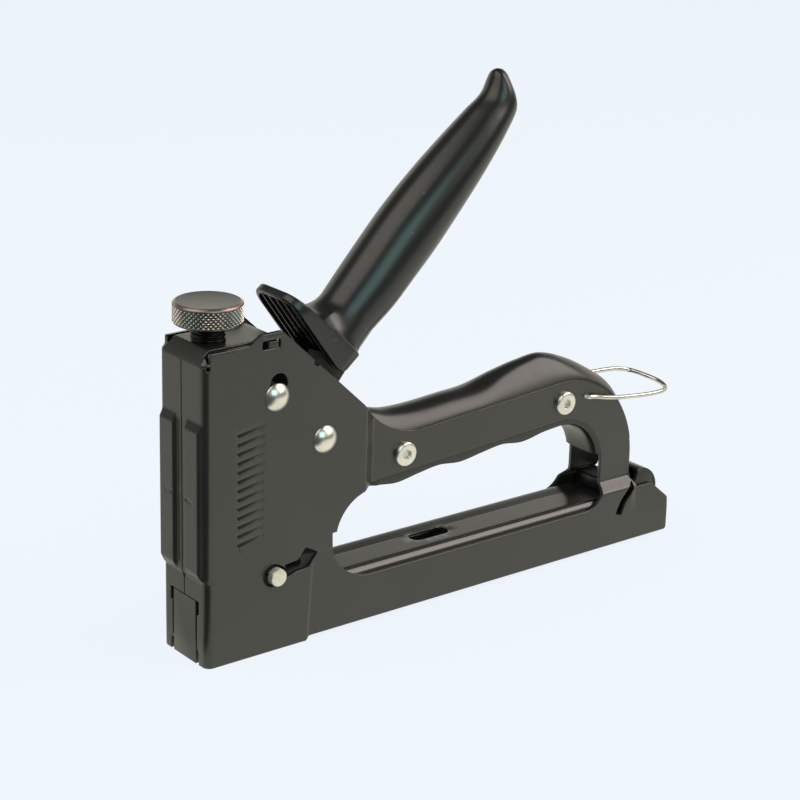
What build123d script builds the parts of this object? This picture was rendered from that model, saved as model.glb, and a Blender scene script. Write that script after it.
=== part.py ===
from build123d import *
import math
import os

# Staple tacker. Sizes in millimetres, X from nose to rear, Z up.
# The origin is the centre of the staple exit, on the plane of the nose foot.

# Sheet steel shells
sheet = 1.2
nose_half = 11.3
mag_step = 0.4
mag_half = nose_half - mag_step
grip_half = 7.5
seam = 0.15
corner_r = 2.3

# Play between pieces
flat_gap = 0.3
fit_gap = 0.06
slip_gap = 0.1

# Nose and front column
blade_t = 0.9
blade_play = 0.15
nose_x = -(sheet + blade_play + blade_t / 2)
column_x = nose_x - 0.65
rib_rise = 0.95
rib_in = 2.5
rib_out = 9.8
rib_low = 26.0
rib_high = 72.0
rib_slope = 2.4
wall_x = 1.0
column_top = 88.4
nose_plate_half = 5.7
nose_plate_h = 19.3
slit = 0.6

# Side outline
step_x = 32.4
mag_low = 1.1
rear_x = 177.5
rear_top = 18.5
rear_face_top = 12.4
rear_cut = 7.1
peak_x = 23.0
peak_z = 94.7
slope_fall = 0.93
shoulder_z = 92.1
grip_tilt = 4.3
hole_tilt = 3.4
bend_x = 132.0
bend_z = 29.0
bend_out = 30.2
bend_in = 17.4
hole_front = 42.3
hole_step = 1.1
hole_step_z = 31.3
hole_low = 15.2
ramp_front = 52.6
ramp_rear = 57.6
emboss_z = 27.0
joggle_low = 19.4
joggle_high = 22.3

# Fasteners
stop_x = 21.3
stop_z = 76.0
pivot_x = 37.8
pivot_z = 60.5
rivet_r = 2.4
rivet_head_r = 4.1
rivet_head_h = 2.1
stop_sleeve_r = 3.4
pivot_sleeve_r = 3.6
screw_at = [(69.4, 48.6), (132.1, 52.3)]
screw_r = 1.9
nut_r = 2.7
screw_head_r = 3.8
screw_head_h = 1.5

# Lever
lever_tilt = 50.0
lever_close = 41.5
plate_in = 4.2
plate_t = 2.0
boss_r = 7.0
lift_r = 1.8
catch_play = 0.35
catch_wall = 1.6
tip_r = 3.6
tang_u = 66.0
flange_from_pivot = 16.1
flange_tilt = 40.0
flange_half = 10.5
flange_front = 39.8
flange_rear = 8.4

# Hammer, main spring and knob
spring_x = nose_x + 8.0
spring_r = 5.1
spring_wire = 1.8
hammer_low = 30.0
hammer_seat = 42.0
hammer_rear = spring_x + spring_r + spring_wire / 2 + 0.1
lift_reach = pivot_x - hammer_rear - 0.25 - catch_wall - catch_play - lift_r
seat_low = 84.0
seat_t = 2.0
bridge_top = 92.2
bridge_t = 1.8
knob_r = 9.75
knob_low = 97.0
knob_top = 103.3
stem_r = 4.9

# Lock pin
pin_x = 20.5
pin_z = 23.3
pin_tilt = 8.0
pin_travel = 9.0
pin_r = 1.2
pin_head_r = 3.0
pin_head_h = 2.4

# Wire bail
bail_x = 140.8
bail_z = 52.75
bail_wire = 0.85
bail_half = grip_half + bail_wire + 0.45
bail_end = grip_half - 2.3
bail_reach = 35.6
bail_corner = 3.5
bail_droop = 5.0

# Magazine
liner_half = mag_half - sheet - slip_gap
liner_top = 17.3
liner_r = 2.8
liner_t = 0.8
rail_half = 4.7
rail_t = 0.9
rail_top = 13.2
rail_low = 2.2
rail_front = 0.9
tail_x = rear_x - 19.5
liner_rear = tail_x - 6.0
tail_low = mag_low + 0.5
tail_top = rear_top - 1.3
tail_half = 7.2
rod_r = 1.5
rod_level = 7.0
pusher_x = 1.0
pusher_l = 13.5
pusher_half = 6.0
latch_x = rear_x - 7.3
latch_z = 6.0
latch_in = 7.5
latch_t = 1.2
lug_x = tail_x - 2.6
lug_z = 11.0
lug_r = 1.0
slot_sweep = 36.0
hood_x = rear_x - 11.3
hood_z = rear_top - 2.2
hood_r = 7.6


def rounded(corners):
    """Face from corners given as x, y and corner radius."""
    ends = []
    count = len(corners)
    for i in range(count):
        x, y, r = corners[i]
        here = Vector(x, y)
        if r == 0:
            ends.append((here, None, here))
            continue
        to_last = (Vector(*corners[i - 1][:2]) - here).normalized()
        to_next = (Vector(*corners[(i + 1) % count][:2]) - here).normalized()
        half = math.acos(to_last.dot(to_next)) / 2
        reach = r / math.tan(half)
        middle = here + (to_last + to_next).normalized() * (r / math.sin(half) - r)
        ends.append((here + to_last * reach, middle, here + to_next * reach))
    edges = []
    for i in range(count):
        start, middle, end = ends[i]
        if middle is not None:
            edges.append(ThreePointArc(start, middle, end))
        after = ends[(i + 1) % count][0]
        if (after - end).length > 0.001:
            edges.append(Line(end, after))
    return make_face(edges)


def sharp(*points):
    return make_face(Polyline(*points, close=True))


def slab(face, y_low, y_high):
    """Solid from a face drawn in X and Z, between two values of Y."""
    side = Plane((0, y_low, 0), x_dir=(1, 0, 0), z_dir=(0, -1, 0))
    return extrude(side * face, amount=y_high - y_low, dir=(0, 1, 0))


def block(x0, x1, y0, y1, z0, z1):
    return Pos((x0 + x1) / 2, (y0 + y1) / 2, (z0 + z1) / 2) * Box(x1 - x0, y1 - y0, z1 - z0)


def rod_y(x, z, r, y0, y1):
    return Pos(x, (y0 + y1) / 2, z) * Rot(90, 0, 0) * Cylinder(r, y1 - y0)


def rod_x(x0, x1, z, r):
    return Pos((x0 + x1) / 2, 0, z) * Rot(0, 90, 0) * Cylinder(r, x1 - x0)


def rod_z(x, r, z0, z1):
    return Pos(x, 0, (z0 + z1) / 2) * Cylinder(r, z1 - z0)


def link(x0, z0, r0, x1, z1, r1):
    """Face of a bar with two round ends."""
    along = Vector(x1 - x0, z1 - z0)
    unit = along.normalized()
    lean = (r0 - r1) / along.length
    side = math.sqrt(1 - lean * lean)
    up = Vector(unit.X * lean - unit.Y * side, unit.Y * lean + unit.X * side)
    low = Vector(unit.X * lean + unit.Y * side, unit.Y * lean - unit.X * side)
    a = Vector(x0, z0)
    b = Vector(x1, z1)
    web = sharp(a + up * r0, b + up * r1, b + low * r1, a + low * r0)
    return web + Pos(x0, z0) * Circle(r0) + Pos(x1, z1) * Circle(r1)


def at_lever(u, w):
    """Point given along and across the lever, seen from its pivot."""
    a = math.radians(lever_tilt)
    x = pivot_x + u * math.cos(a) - w * math.sin(a)
    return x, pivot_z + u * math.sin(a) + w * math.cos(a)


def grip_line(x):
    a = math.radians(grip_tilt)
    top_x = bend_x - bend_out * math.sin(a)
    return bend_z + bend_out * math.cos(a) + (x - top_x) * math.tan(a)


def hole_line(x):
    a = math.radians(hole_tilt)
    top_x = bend_x - bend_in * math.sin(a)
    return bend_z + bend_in * math.cos(a) + (x - top_x) * math.tan(a)


def hand_hole():
    """Two faces that meet at the small step in the front edge of the hole."""
    rear = bend_x + bend_in
    upper = rounded([
        (hole_front, hole_line(hole_front), 13.6),
        (hole_front, hole_low, 0),
        (rear, hole_low, 0),
        (rear, hole_line(rear), bend_in),
    ])
    lower = rounded([
        (hole_front - hole_step, 45, 0),
        (hole_front - hole_step, hole_low, 14.0),
        (rear, hole_low, 9.0),
        (rear, 45, 0),
    ])
    above = sharp((30, hole_step_z), (160, hole_step_z), (160, 60), (30, 60))
    below = sharp((30, 0), (160, 0), (160, hole_step_z), (30, hole_step_z))
    return (upper & above) + (lower & below)


def side_outline():
    post_x = bend_x + bend_out
    slope_top = peak_z + slope_fall * peak_x
    grip_meet = (slope_top - grip_line(0)) / (slope_fall + math.tan(math.radians(grip_tilt)))
    outer = rounded([
        (wall_x, 0, 0),
        (step_x, 0, 0.6),
        (step_x + 1.2, mag_low, 0.6),
        (rear_x, mag_low, 1.0),
        (rear_x, rear_face_top, 1.2),
        (rear_x - rear_cut, rear_top, 1.2),
        (post_x, rear_top, 0.6),
        (post_x, grip_line(post_x), bend_out),
        (grip_meet, grip_line(grip_meet), 24),
        (peak_x, peak_z, 1.6),
        (16.2, peak_z - 0.2, 0.8),
        (12.4, shoulder_z, 0.8),
        (-0.6, shoulder_z - 0.2, 0.5),
        (-0.6, column_top - 1, 0),
        (wall_x, column_top - 1, 0),
    ])
    nick = sharp((37.2, 80.25), (38.6, 81.65), (40.5, 81.05), (38.5, 79.05))
    return outer - hand_hole() - nick


def front_zone():
    return sharp((-9, -2), (32.5, -2), (34.4, emboss_z), (ramp_front, emboss_z), (ramp_front, 110),
                 (-9, 110))


def mag_zone():
    return sharp((31.6, -2), (200, -2), (200, joggle_low), (60, joggle_low), (60, emboss_z + 1),
                 (33.4, emboss_z + 1))


def grip_zone():
    return sharp((ramp_rear, 36), (100, 36), (100, joggle_high), (200, joggle_high), (200, 70),
                 (ramp_rear, 70))


def front_wall(face_x, z0, z1):
    plan = rounded([
        (face_x, seam, 0),
        (face_x, nose_half, corner_r),
        (wall_x + 1, nose_half, 0),
        (wall_x + 1, nose_half - sheet, 0),
        (face_x + sheet, nose_half - sheet, corner_r - sheet),
        (face_x + sheet, seam, 0),
    ])
    return Pos(0, 0, z0) * extrude(plan, amount=z1 - z0, dir=(0, 0, 1))


def rib():
    low = rib_low + 0.2
    high = rib_high
    mid = (low + high) / 2
    out = column_x - rib_rise
    outer = sharp((column_x + 0.4, low), (column_x, low), (out, low + rib_slope), (out, mid - 0.7),
                  (out + 0.35, mid), (out, mid + 0.7), (out, high - rib_slope), (column_x, high),
                  (column_x + 0.4, high))
    inner = sharp((column_x + sheet + 0.1, low + 1), (column_x + sheet, low + 1),
                  (out + sheet, low + 1 + rib_slope), (out + sheet, high - 1 - rib_slope),
                  (column_x + sheet, high - 1), (column_x + sheet + 0.1, high - 1))
    return slab(outer, rib_in, rib_out), slab(inner, rib_in + 1, rib_out - 1)


def louvres():
    cuts = []
    for i in range(13):
        z = 67.4 - 2.68 * i
        cuts.append(slab(link(8.4, z, 0.55, 17.0, z + 1.9, 0.55), nose_half - 0.5, nose_half + 1))
    return cuts


def pin_slot():
    a = math.radians(pin_tilt)
    end_x = pin_x + (pin_travel + 0.4) * math.cos(a)
    end_z = pin_z + (pin_travel + 0.4) * math.sin(a)
    run = link(pin_x, pin_z, pin_r + 0.3, end_x, end_z, pin_r + 0.3)
    hook = rounded([
        (29.4, 25.8, 0),
        (31.7, 28.8, 0.5),
        (35.4, 26.6, 0.5),
        (32.6, 23.2, 0.5),
        (29.4, 22.9, 0),
    ])
    return Pos(pin_x, pin_z) * Circle(pin_head_r + 0.3) + run + hook


def latch_slot():
    reach = math.hypot(lug_x - latch_x, lug_z - latch_z)
    start = math.degrees(math.atan2(lug_z - latch_z, lug_x - latch_x))
    curve = CenterArc((latch_x, latch_z), reach, start, -slot_sweep - 6)
    return trace(curve, 2.5) + Pos(lug_x, lug_z) * Circle(1.25)


def ramp(outline):
    """Slanted strip between the wide front panel and the narrow grip panel."""
    plan = sharp((ramp_front - 0.4, nose_half), (ramp_front, nose_half), (ramp_rear, grip_half),
                 (ramp_rear + 0.4, grip_half), (ramp_rear + 0.4, grip_half - sheet),
                 (ramp_rear, grip_half - sheet), (ramp_front, nose_half - sheet),
                 (ramp_front - 0.4, nose_half - sheet))
    high = sharp((40, 36), (70, 36), (70, 75), (40, 75))
    return Pos(0, 0, 30) * extrude(plan, amount=50, dir=(0, 0, 1)) & slab(outline & high, 5, 14)


def joggle(outline):
    section = sharp((grip_half, joggle_high + 0.4), (grip_half, joggle_high), (mag_half, joggle_low),
                    (mag_half, joggle_low - 0.4), (mag_half - sheet, joggle_low - 0.4),
                    (mag_half - sheet, joggle_low), (grip_half - sheet, joggle_high),
                    (grip_half - sheet, joggle_high + 0.4))
    across = Plane((125, 0, 0), x_dir=(0, 1, 0), z_dir=(1, 0, 0))
    return extrude(across * section, amount=60, dir=(1, 0, 0)) & slab(outline, 5, 14)


def shell():
    outline = side_outline()
    raised, hollow = rib()
    body = slab(outline & front_zone(), nose_half - sheet, nose_half)
    body += slab(outline & grip_zone(), grip_half - sheet, grip_half)
    body += slab(outline & mag_zone(), mag_half - sheet, mag_half)
    body += ramp(outline)
    body += joggle(outline)
    body += front_wall(nose_x, 0, rib_low + 0.5)
    body += front_wall(column_x, rib_low - 0.5, column_top)
    body += raised
    body -= hollow
    body -= block(nose_x - 1, nose_x + sheet + 0.01, -1, nose_plate_half + slit, -1, nose_plate_h)
    body -= louvres()
    body -= slab(link(stop_x, stop_z, rivet_r + 0.4, stop_x + 0.6, stop_z + 3.9, 2.8), 5, 15)
    body -= rod_y(pivot_x, pivot_z, rivet_r + fit_gap, 5, 15)
    body -= slab(pin_slot(), 5, 15)
    body -= slab(latch_slot(), 5, 15)
    body -= block(16.4, 22.2, 5, 15, bridge_top - bridge_t - 0.2, bridge_top + 0.4)
    for x, z in screw_at:
        body -= rod_y(x, z, nut_r + slip_gap, 5, 15)
    body -= rod_y(bail_x, bail_z, bail_wire + 0.08, 5, 15)
    return body


def nose_plate():
    return block(nose_x, nose_x + sheet, -nose_plate_half, nose_plate_half, 0, nose_plate_h)


def top_bridge():
    half = nose_half - sheet - slip_gap
    low = bridge_top - bridge_t
    rear = 23.4
    side = sharp((column_x, column_top), (column_x, column_top + 0.3), (1.0, bridge_top),
                 (rear, bridge_top), (rear, low), (1.6, low), (-0.4, column_top))
    body = slab(side, -half, half)
    body -= block(column_x - 1, wall_x + 0.4, half - 1.2, half + 1, column_top - 1, bridge_top - 1.2)
    body -= block(column_x - 1, wall_x + 0.4, -half - 1, 1.2 - half, column_top - 1, bridge_top - 1.2)
    body += block(18.4, 21.8, -nose_half, nose_half, low, bridge_top)
    return body - rod_z(spring_x, stem_r + 0.08, low - 1, bridge_top + 1)


def rivet(x, z):
    dome_r = (rivet_head_r ** 2 + rivet_head_h ** 2) / (2 * rivet_head_h)
    body = rod_y(x, z, rivet_r, -nose_half, nose_half)
    for side in (-1, 1):
        ball = Pos(x, side * (nose_half + rivet_head_h - dome_r), z) * Sphere(dome_r)
        low, high = sorted((side * nose_half, side * (nose_half + rivet_head_h + 1)))
        body += ball & block(x - 9, x + 9, low, high, z - 9, z + 9)
    return body


def sleeve(x, z, r):
    half = nose_half - sheet
    return rod_y(x, z, r, -half, half) - rod_y(x, z, rivet_r + fit_gap, -half - 1, half + 1)


def grip_face():
    post = bend_z + 3
    top = Spline((47.0, 63.2), (55.0, 63.6), (61.0, 62.3), (66.0, 61.1), (72.0, 60.6), (79.0, 60.7),
                 (88.0, 61.3), (100.0, 62.2), (110.0, 64.8), (119.0, 66.5), (128.5, 67.1), (136.5, 64.6),
                 (146.0, 59.8), (154.6, 53.9), (159.8, 45.8), (162.9, 37.5), (163.6, post))
    low = Spline((147.0, post), (145.2, 36.6), (139.6, 42.2), (132.0, 44.2), (125.5, 43.6), (116.2, 41.85),
                 (107.7, 42.9), (91.8, 40.5), (83.0, 41.4), (67.5, 38.95), (60.5, 39.85), (48.2, 39.2))
    return make_face([top, Line((163.6, post), (147.0, post)), low, Line((48.2, 39.2), (47.0, 63.2))])


def grip_insert():
    core_half = grip_half - sheet - slip_gap
    plate = offset(side_outline() & grip_zone(), 0.25)
    ahead = sharp((40, 30), (ramp_rear + 0.25, 30), (ramp_rear + 0.25, 80), (40, 80))
    body = slab(grip_face(), -grip_half, grip_half)
    long_edges = body.edges().filter_by(lambda e: e.length > 60).sort_by(Axis.Z)
    body = fillet(long_edges[-2:], 4.0)
    for side in (-1, 1):
        y0, y1 = sorted((side * core_half, side * 20))
        body -= slab(plate, y0, y1)
        body -= slab(ahead, y0, y1)
    for x, z in screw_at:
        body -= rod_y(x, z, nut_r + slip_gap, -20, 20)
    for side in (-1, 1):
        y0, y1 = sorted((side * (bail_end - 0.4), side * 12))
        body -= rod_y(bail_x, bail_z, bail_wire + 0.3, y0, y1)
    return body


def grip_screws():
    screws = []
    for x, z in screw_at:
        head = fillet(rod_y(x, z, screw_head_r, -grip_half - screw_head_h, -grip_half).edges()
                      .group_by(Axis.Y)[0], 0.9)
        stud = rod_y(x, z, screw_r, -grip_half, grip_half - 3)
        socket = extrude(Plane((x, -grip_half - 1, z), x_dir=(1, 0, 0), z_dir=(0, -1, 0))
                         * RegularPolygon(1.5, 6), amount=3, dir=(0, -1, 0))
        screws.append(head + stud - socket)
    return Compound(children=[s.solid() for s in screws])


def grip_nuts():
    nuts = []
    for x, z in screw_at:
        head = fillet(rod_y(x, z, screw_head_r, grip_half, grip_half + screw_head_h).edges()
                      .group_by(Axis.Y)[-1], 0.9)
        barrel = rod_y(x, z, nut_r, -grip_half + 0.2, grip_half)
        nuts.append(head + barrel - rod_y(x, z, screw_r + fit_gap, -20, grip_half - 2))
    return Compound(children=[n.solid() for n in nuts])


def lift_point():
    a = math.radians(lever_close / 2)
    return pivot_x - lift_reach * math.cos(a), pivot_z - lift_reach * math.sin(a)


def stop_touch():
    """Distance of the stop sleeve in front of the lever pivot line."""
    a = math.radians(lever_tilt)
    return -(stop_x - pivot_x) * math.sin(a) + (stop_z - pivot_z) * math.cos(a) - stop_sleeve_r - flat_gap


def lever_plate(y0):
    tip = lift_point()
    nose = stop_touch()
    arm = link(pivot_x, pivot_z, boss_r, tip[0], tip[1], tip_r)
    tall = [(-4, 5), (-1.5, nose), (4, nose), (9, 16.5), (18.6, 16.5), (20.5, 11.5), (tang_u, 8.5),
            (tang_u, 1.0), (26, 3.0), (10, 2.8), (6, -3)]
    tang = sharp(*[at_lever(u, w) for u, w in tall])
    body = slab(arm + tang, y0, y0 + plate_t)
    body -= rod_y(pivot_x, pivot_z, pivot_sleeve_r + fit_gap, -20, 20)
    body -= rod_y(tip[0], tip[1], lift_r, -20, 20)
    for x, z in spacer_spots():
        body -= rod_y(x, z, 1.5, -20, 20)
    return body


def spacer_spots():
    return [at_lever(30, 6.6), at_lever(58, 5.0)]


def lever_spacers():
    studs = []
    end = plate_in + plate_t
    for x, z in spacer_spots():
        studs.append(rod_y(x, z, 1.5, -end, end) + rod_y(x, z, 2.4, -plate_in, plate_in))
    return Compound(children=[s.solid() for s in studs])


def lift_pin():
    tip = lift_point()
    return rod_y(tip[0], tip[1], lift_r, -plate_in - plate_t, plate_in + plate_t)


def handle_section(u, w, across, deep, lean):
    x, z = at_lever(u, w)
    a = math.radians(lever_tilt + lean)
    spot = Plane((x, 0, z), x_dir=(0, 1, 0), z_dir=(math.cos(a), 0, math.sin(a)))
    return spot * Ellipse(across, deep)


def flange():
    a = math.radians(flange_tilt)
    out = Vector(math.cos(a), math.sin(a))
    down = Vector(math.sin(a), -math.cos(a))
    base = Vector(pivot_x, pivot_z) + out * flange_from_pivot
    front = base - down * flange_front
    rear = base - down * flange_rear
    side = sharp(front, rear, rear + out * 6.5, front + out * 2.2)
    body = slab(side, -flange_half, flange_half)
    body = fillet([e for e in body.edges() if e.length < 2.4], 6)
    rears = [e for e in body.edges() if abs(e.length - 6.5) < 0.01]
    body = fillet(rears, 4)
    pocket = sharp(front + down * 2 - out, rear - down * 2 - out, rear - down * 2 + out * 2.2,
                   front + down * 2 + out * 0.9)
    body -= slab(pocket, -flange_half + 1.6, flange_half - 1.6)
    for i in range(-2, 3):
        fin = sharp(front + down * 1.8 + out * 0.2, rear - down * 1.8 + out * 0.2,
                    rear - down * 1.8 + out * 3, front + down * 1.8 + out * 1.2)
        body += slab(fin, 3.4 * i - 0.6, 3.4 * i + 0.6)
    return body


def lever_handle():
    sections = [
        handle_section(24, 9.6, 8.6, 8.4, -8),
        handle_section(32, 8.9, 8.8, 8.4, -6),
        handle_section(44, 7.6, 9.6, 9.3, -5),
        handle_section(62, 5.6, 10.4, 10.3, -4),
        handle_section(78, 4.5, 10.0, 9.6, -3),
        handle_section(92, 3.7, 8.8, 8.2, -1),
        handle_section(104, 3.6, 7.4, 6.8, 4),
        handle_section(112, 4.6, 6.2, 5.6, 16),
        handle_section(116, 6.4, 4.2, 3.6, 28),
        handle_section(117.8, 7.7, 2.2, 1.8, 32),
        handle_section(118.8, 8.5, 0.8, 0.7, 34),
    ]
    body = loft(sections)
    body += flange()
    gap = slip_gap
    inside = [(10, 17.0), (19.0, 17.0), (20.8, 11.7 + gap), (tang_u + gap, 8.6 + gap), (tang_u + gap, 0.9),
              (26, 2.8), (10, 2.4)]
    room = sharp(*[at_lever(u, w) for u, w in inside])
    half = plate_in + plate_t + gap
    return body - slab(room, -half, half)


def return_spring():
    wire = 0.5
    mean = 5.0
    pitch = 1.05
    start = -3.0
    turns = 1.362
    y0 = plate_in + plate_t + wire + flat_gap
    coil = Helix(pitch, pitch * turns, mean)
    lever_leg = Line(coil @ 0 - (coil % 0) * 10, coil @ 0)
    body_leg = Line(coil @ 1, coil @ 1 + (coil % 1) * 22)
    path = Wire([lever_leg.edge(), coil.edge(), body_leg.edge()])
    body = sweep(Plane(path @ 0, z_dir=path % 0) * Circle(wire), path=path)
    return Pos(pivot_x, y0, pivot_z) * Rot(0, -start, 0) * Rot(-90, 0, 0) * body


def main_spring():
    low = hammer_seat + spring_wire / 2 + 0.02
    high = seat_low - spring_wire / 2 - 0.02
    coil = Helix((high - low) / 8, high - low, spring_r)
    body = sweep(Plane(coil @ 0, z_dir=coil % 0) * Circle(spring_wire / 2), path=coil)
    return Pos(spring_x, 0, low) * body


def hammer():
    tip_z = lift_point()[1]
    reach = pivot_x - lift_reach
    front = blade_t / 2
    catch_low = tip_z - lift_r - catch_play
    catch_high = tip_z + lift_r + catch_play
    half = nose_half - sheet - slip_gap
    body = block(front, hammer_rear, -half, half, hammer_low, hammer_seat)
    body += rod_z(spring_x, spring_r - spring_wire / 2 - 0.3, hammer_seat, hammer_seat + 5)
    rear = lift_point()[0] + lift_r + catch_play
    ahead = reach - lift_r - catch_play
    inner = plate_in - flat_gap
    foot = hammer_seat - 6
    back = rear + catch_wall + 0.2
    body += block(hammer_rear - 1, back, -inner, inner, foot, hammer_seat)
    body += block(ahead - catch_wall, back, -inner, inner, foot, catch_high + catch_wall)
    body -= block(ahead, rear, -9, 9, catch_low, catch_high)
    return body


def driver_blade():
    half = nose_plate_half - 0.3
    return block(-blade_t / 2, blade_t / 2, -half, half, 0.3, hammer_seat - 2)


def spring_seat():
    pilot = spring_r - spring_wire / 2 - 0.3
    body = rod_z(spring_x, spring_r + spring_wire / 2 + 0.3, seat_low, seat_low + seat_t)
    return body + rod_z(spring_x, pilot, seat_low - 5, seat_low)


def power_knob():
    head = rod_z(spring_x, knob_r, knob_low, knob_top)
    head = chamfer(head.edges().group_by(Axis.Z)[-1], 0.8)
    head = chamfer(head.edges().group_by(Axis.Z)[0], 0.5)
    body = head + rod_z(spring_x, stem_r, seat_low + seat_t, knob_low)
    for i in range(3):
        z = bridge_top + 0.9 + 1.25 * i
        groove = rod_z(spring_x, stem_r + 1, z, z + 0.5) - rod_z(spring_x, stem_r - 0.4, z - 1, z + 1)
        body -= groove
    return body


def bumper():
    half = nose_half - sheet - slip_gap
    a = math.radians(pin_tilt)
    end_x = pin_x + pin_travel * math.cos(a)
    end_z = pin_z + pin_travel * math.sin(a)
    body = block(blade_t / 2 + flat_gap, 32, -half, half, 19, 26.6)
    body += block(blade_t / 2 + flat_gap, hammer_rear + 2, -half, half, 19, hammer_low - flat_gap)
    return body - slab(link(pin_x, pin_z, pin_r + 0.3, end_x, end_z, pin_r + 0.3), -20, 20)


def lock_pin():
    end = nose_half + 0.2
    body = rod_y(pin_x, pin_z, pin_r, -end, end)
    for side in (-1, 1):
        y0, y1 = sorted((side * end, side * (end + pin_head_h)))
        head = rod_y(pin_x, pin_z, pin_head_r, y0, y1)
        body += chamfer(head.edges().sort_by(lambda e: abs(e.center().Y))[-1:], 0.3)
    return body


def wire_bail():
    a = math.radians(bail_droop)
    along = (math.cos(a), 0, -math.sin(a))
    flat = Plane((bail_x, 0, bail_z), x_dir=along, z_dir=(math.sin(a), 0, math.cos(a)))
    turn = 1.8
    bow = bail_reach - bail_corner
    side = bail_half - bail_corner
    path = [
        Line((0, bail_end), (0, bail_half - turn)),
        RadiusArc((0, bail_half - turn), (turn, bail_half), turn),
        Line((turn, bail_half), (bow, bail_half)),
        RadiusArc((bow, bail_half), (bail_reach, side), bail_corner),
        Line((bail_reach, side), (bail_reach, -side)),
        RadiusArc((bail_reach, -side), (bow, -bail_half), bail_corner),
        Line((bow, -bail_half), (turn, -bail_half)),
        RadiusArc((turn, -bail_half), (0, turn - bail_half), turn),
        Line((0, turn - bail_half), (0, -bail_end)),
    ]
    wire = Wire([flat * p for p in path])
    start = Plane(wire @ 0, z_dir=wire % 0)
    return sweep(start * Circle(bail_wire), path=wire)


def magazine_liner():
    inner = liner_half - liner_t
    under = liner_top - liner_t
    section = rounded([
        (-liner_half, 1.6, 0),
        (-liner_half, liner_top, liner_r),
        (liner_half, liner_top, liner_r),
        (liner_half, 1.6, 0),
        (inner, 1.6, 0),
        (inner, under, liner_r - liner_t),
        (-inner, under, liner_r - liner_t),
        (-inner, 1.6, 0),
    ])
    across = Plane((rail_front, 0, 0), x_dir=(0, 1, 0), z_dir=(1, 0, 0))
    channel = extrude(across * section, amount=liner_rear - rail_front, dir=(1, 0, 0))
    return channel - Pos(85.2, 0, liner_top) * extrude(SlotOverall(14, 5.2), amount=4, both=True)


def rail_section(grow):
    half = rail_half + grow
    inner = rail_half - rail_t - grow
    top = rail_top + grow
    under = rail_top - rail_t - grow
    low = rail_low - grow
    return sharp((-half, low), (-half, top), (half, top), (half, low), (inner, low), (inner, under),
                 (-inner, under), (-inner, low))


def staple_rail():
    across = Plane((rail_front, 0, 0), x_dir=(0, 1, 0), z_dir=(1, 0, 0))
    return extrude(across * rail_section(0), amount=tail_x - rail_front, dir=(1, 0, 0))


def pusher():
    body = block(pusher_x, pusher_x + pusher_l, -pusher_half, pusher_half, rail_low - 0.9, 14.8)
    across = Plane((pusher_x - 1, 0, 0), x_dir=(0, 1, 0), z_dir=(1, 0, 0))
    body -= extrude(across * rail_section(0.15), amount=pusher_l + 2, dir=(1, 0, 0))
    return body - rod_x(pusher_x - 1, pusher_x + pusher_l + 1, rod_level, rod_r + slip_gap)


def pusher_rod():
    return rod_x(pusher_x + 2, tail_x, rod_level, rod_r)


def pusher_spring():
    wire = 0.35
    low = pusher_x + pusher_l + wire + 0.05
    high = tail_x - wire - 0.05
    coil = Helix((high - low) / 24, high - low, 2.5)
    body = sweep(Plane(coil @ 0, z_dir=coil % 0) * Circle(wire), path=coil)
    return Pos(low, 0, rod_level) * Rot(0, 90, 0) * body


def magazine_tail():
    end = rear_x - sheet
    side = rounded([
        (tail_x, tail_low, 0),
        (end, tail_low, 1.0),
        (end, rear_face_top - 1.4, 1.0),
        (end - rear_cut + 0.8, tail_top, 1.0),
        (tail_x, tail_top, 0),
    ])
    body = slab(side, -tail_half, tail_half)
    return body - rod_y(latch_x, latch_z, 1.6, -20, 20)


def latch_pin():
    end = latch_in + latch_t
    return rod_y(latch_x, latch_z, 1.6, -end, end)


def magazine_latch():
    arm = link(latch_x, latch_z, 4.0, lug_x, lug_z, lug_r + 0.3)
    arm += sharp((latch_x - 4, latch_z), (latch_x + 4, latch_z), (hood_x + hood_r - 0.9, hood_z),
                 (hood_x + 0.64 * hood_r, hood_z + 0.70 * hood_r),
                 (hood_x - 0.11 * hood_r, hood_z + 0.915 * hood_r), (latch_x - 9, 12))
    body = slab(arm, latch_in, latch_in + latch_t) + slab(arm, -latch_in - latch_t, -latch_in)
    ring = Circle(hood_r) - Circle(hood_r - sheet)
    keep = sharp((0, 0), (20, -2.0), (20, 20), (-3.6, 20))
    body += slab(Pos(hood_x, hood_z) * (ring & keep), -latch_in - latch_t, latch_in + latch_t)
    body -= rod_y(latch_x, latch_z, 1.6 + fit_gap, -20, 20)
    for side in (-1, 1):
        y0, y1 = sorted((side * (latch_in + latch_t), side * (mag_half - sheet - slip_gap)))
        body += rod_y(lug_x, lug_z, lug_r, y0, y1)
    return body


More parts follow.
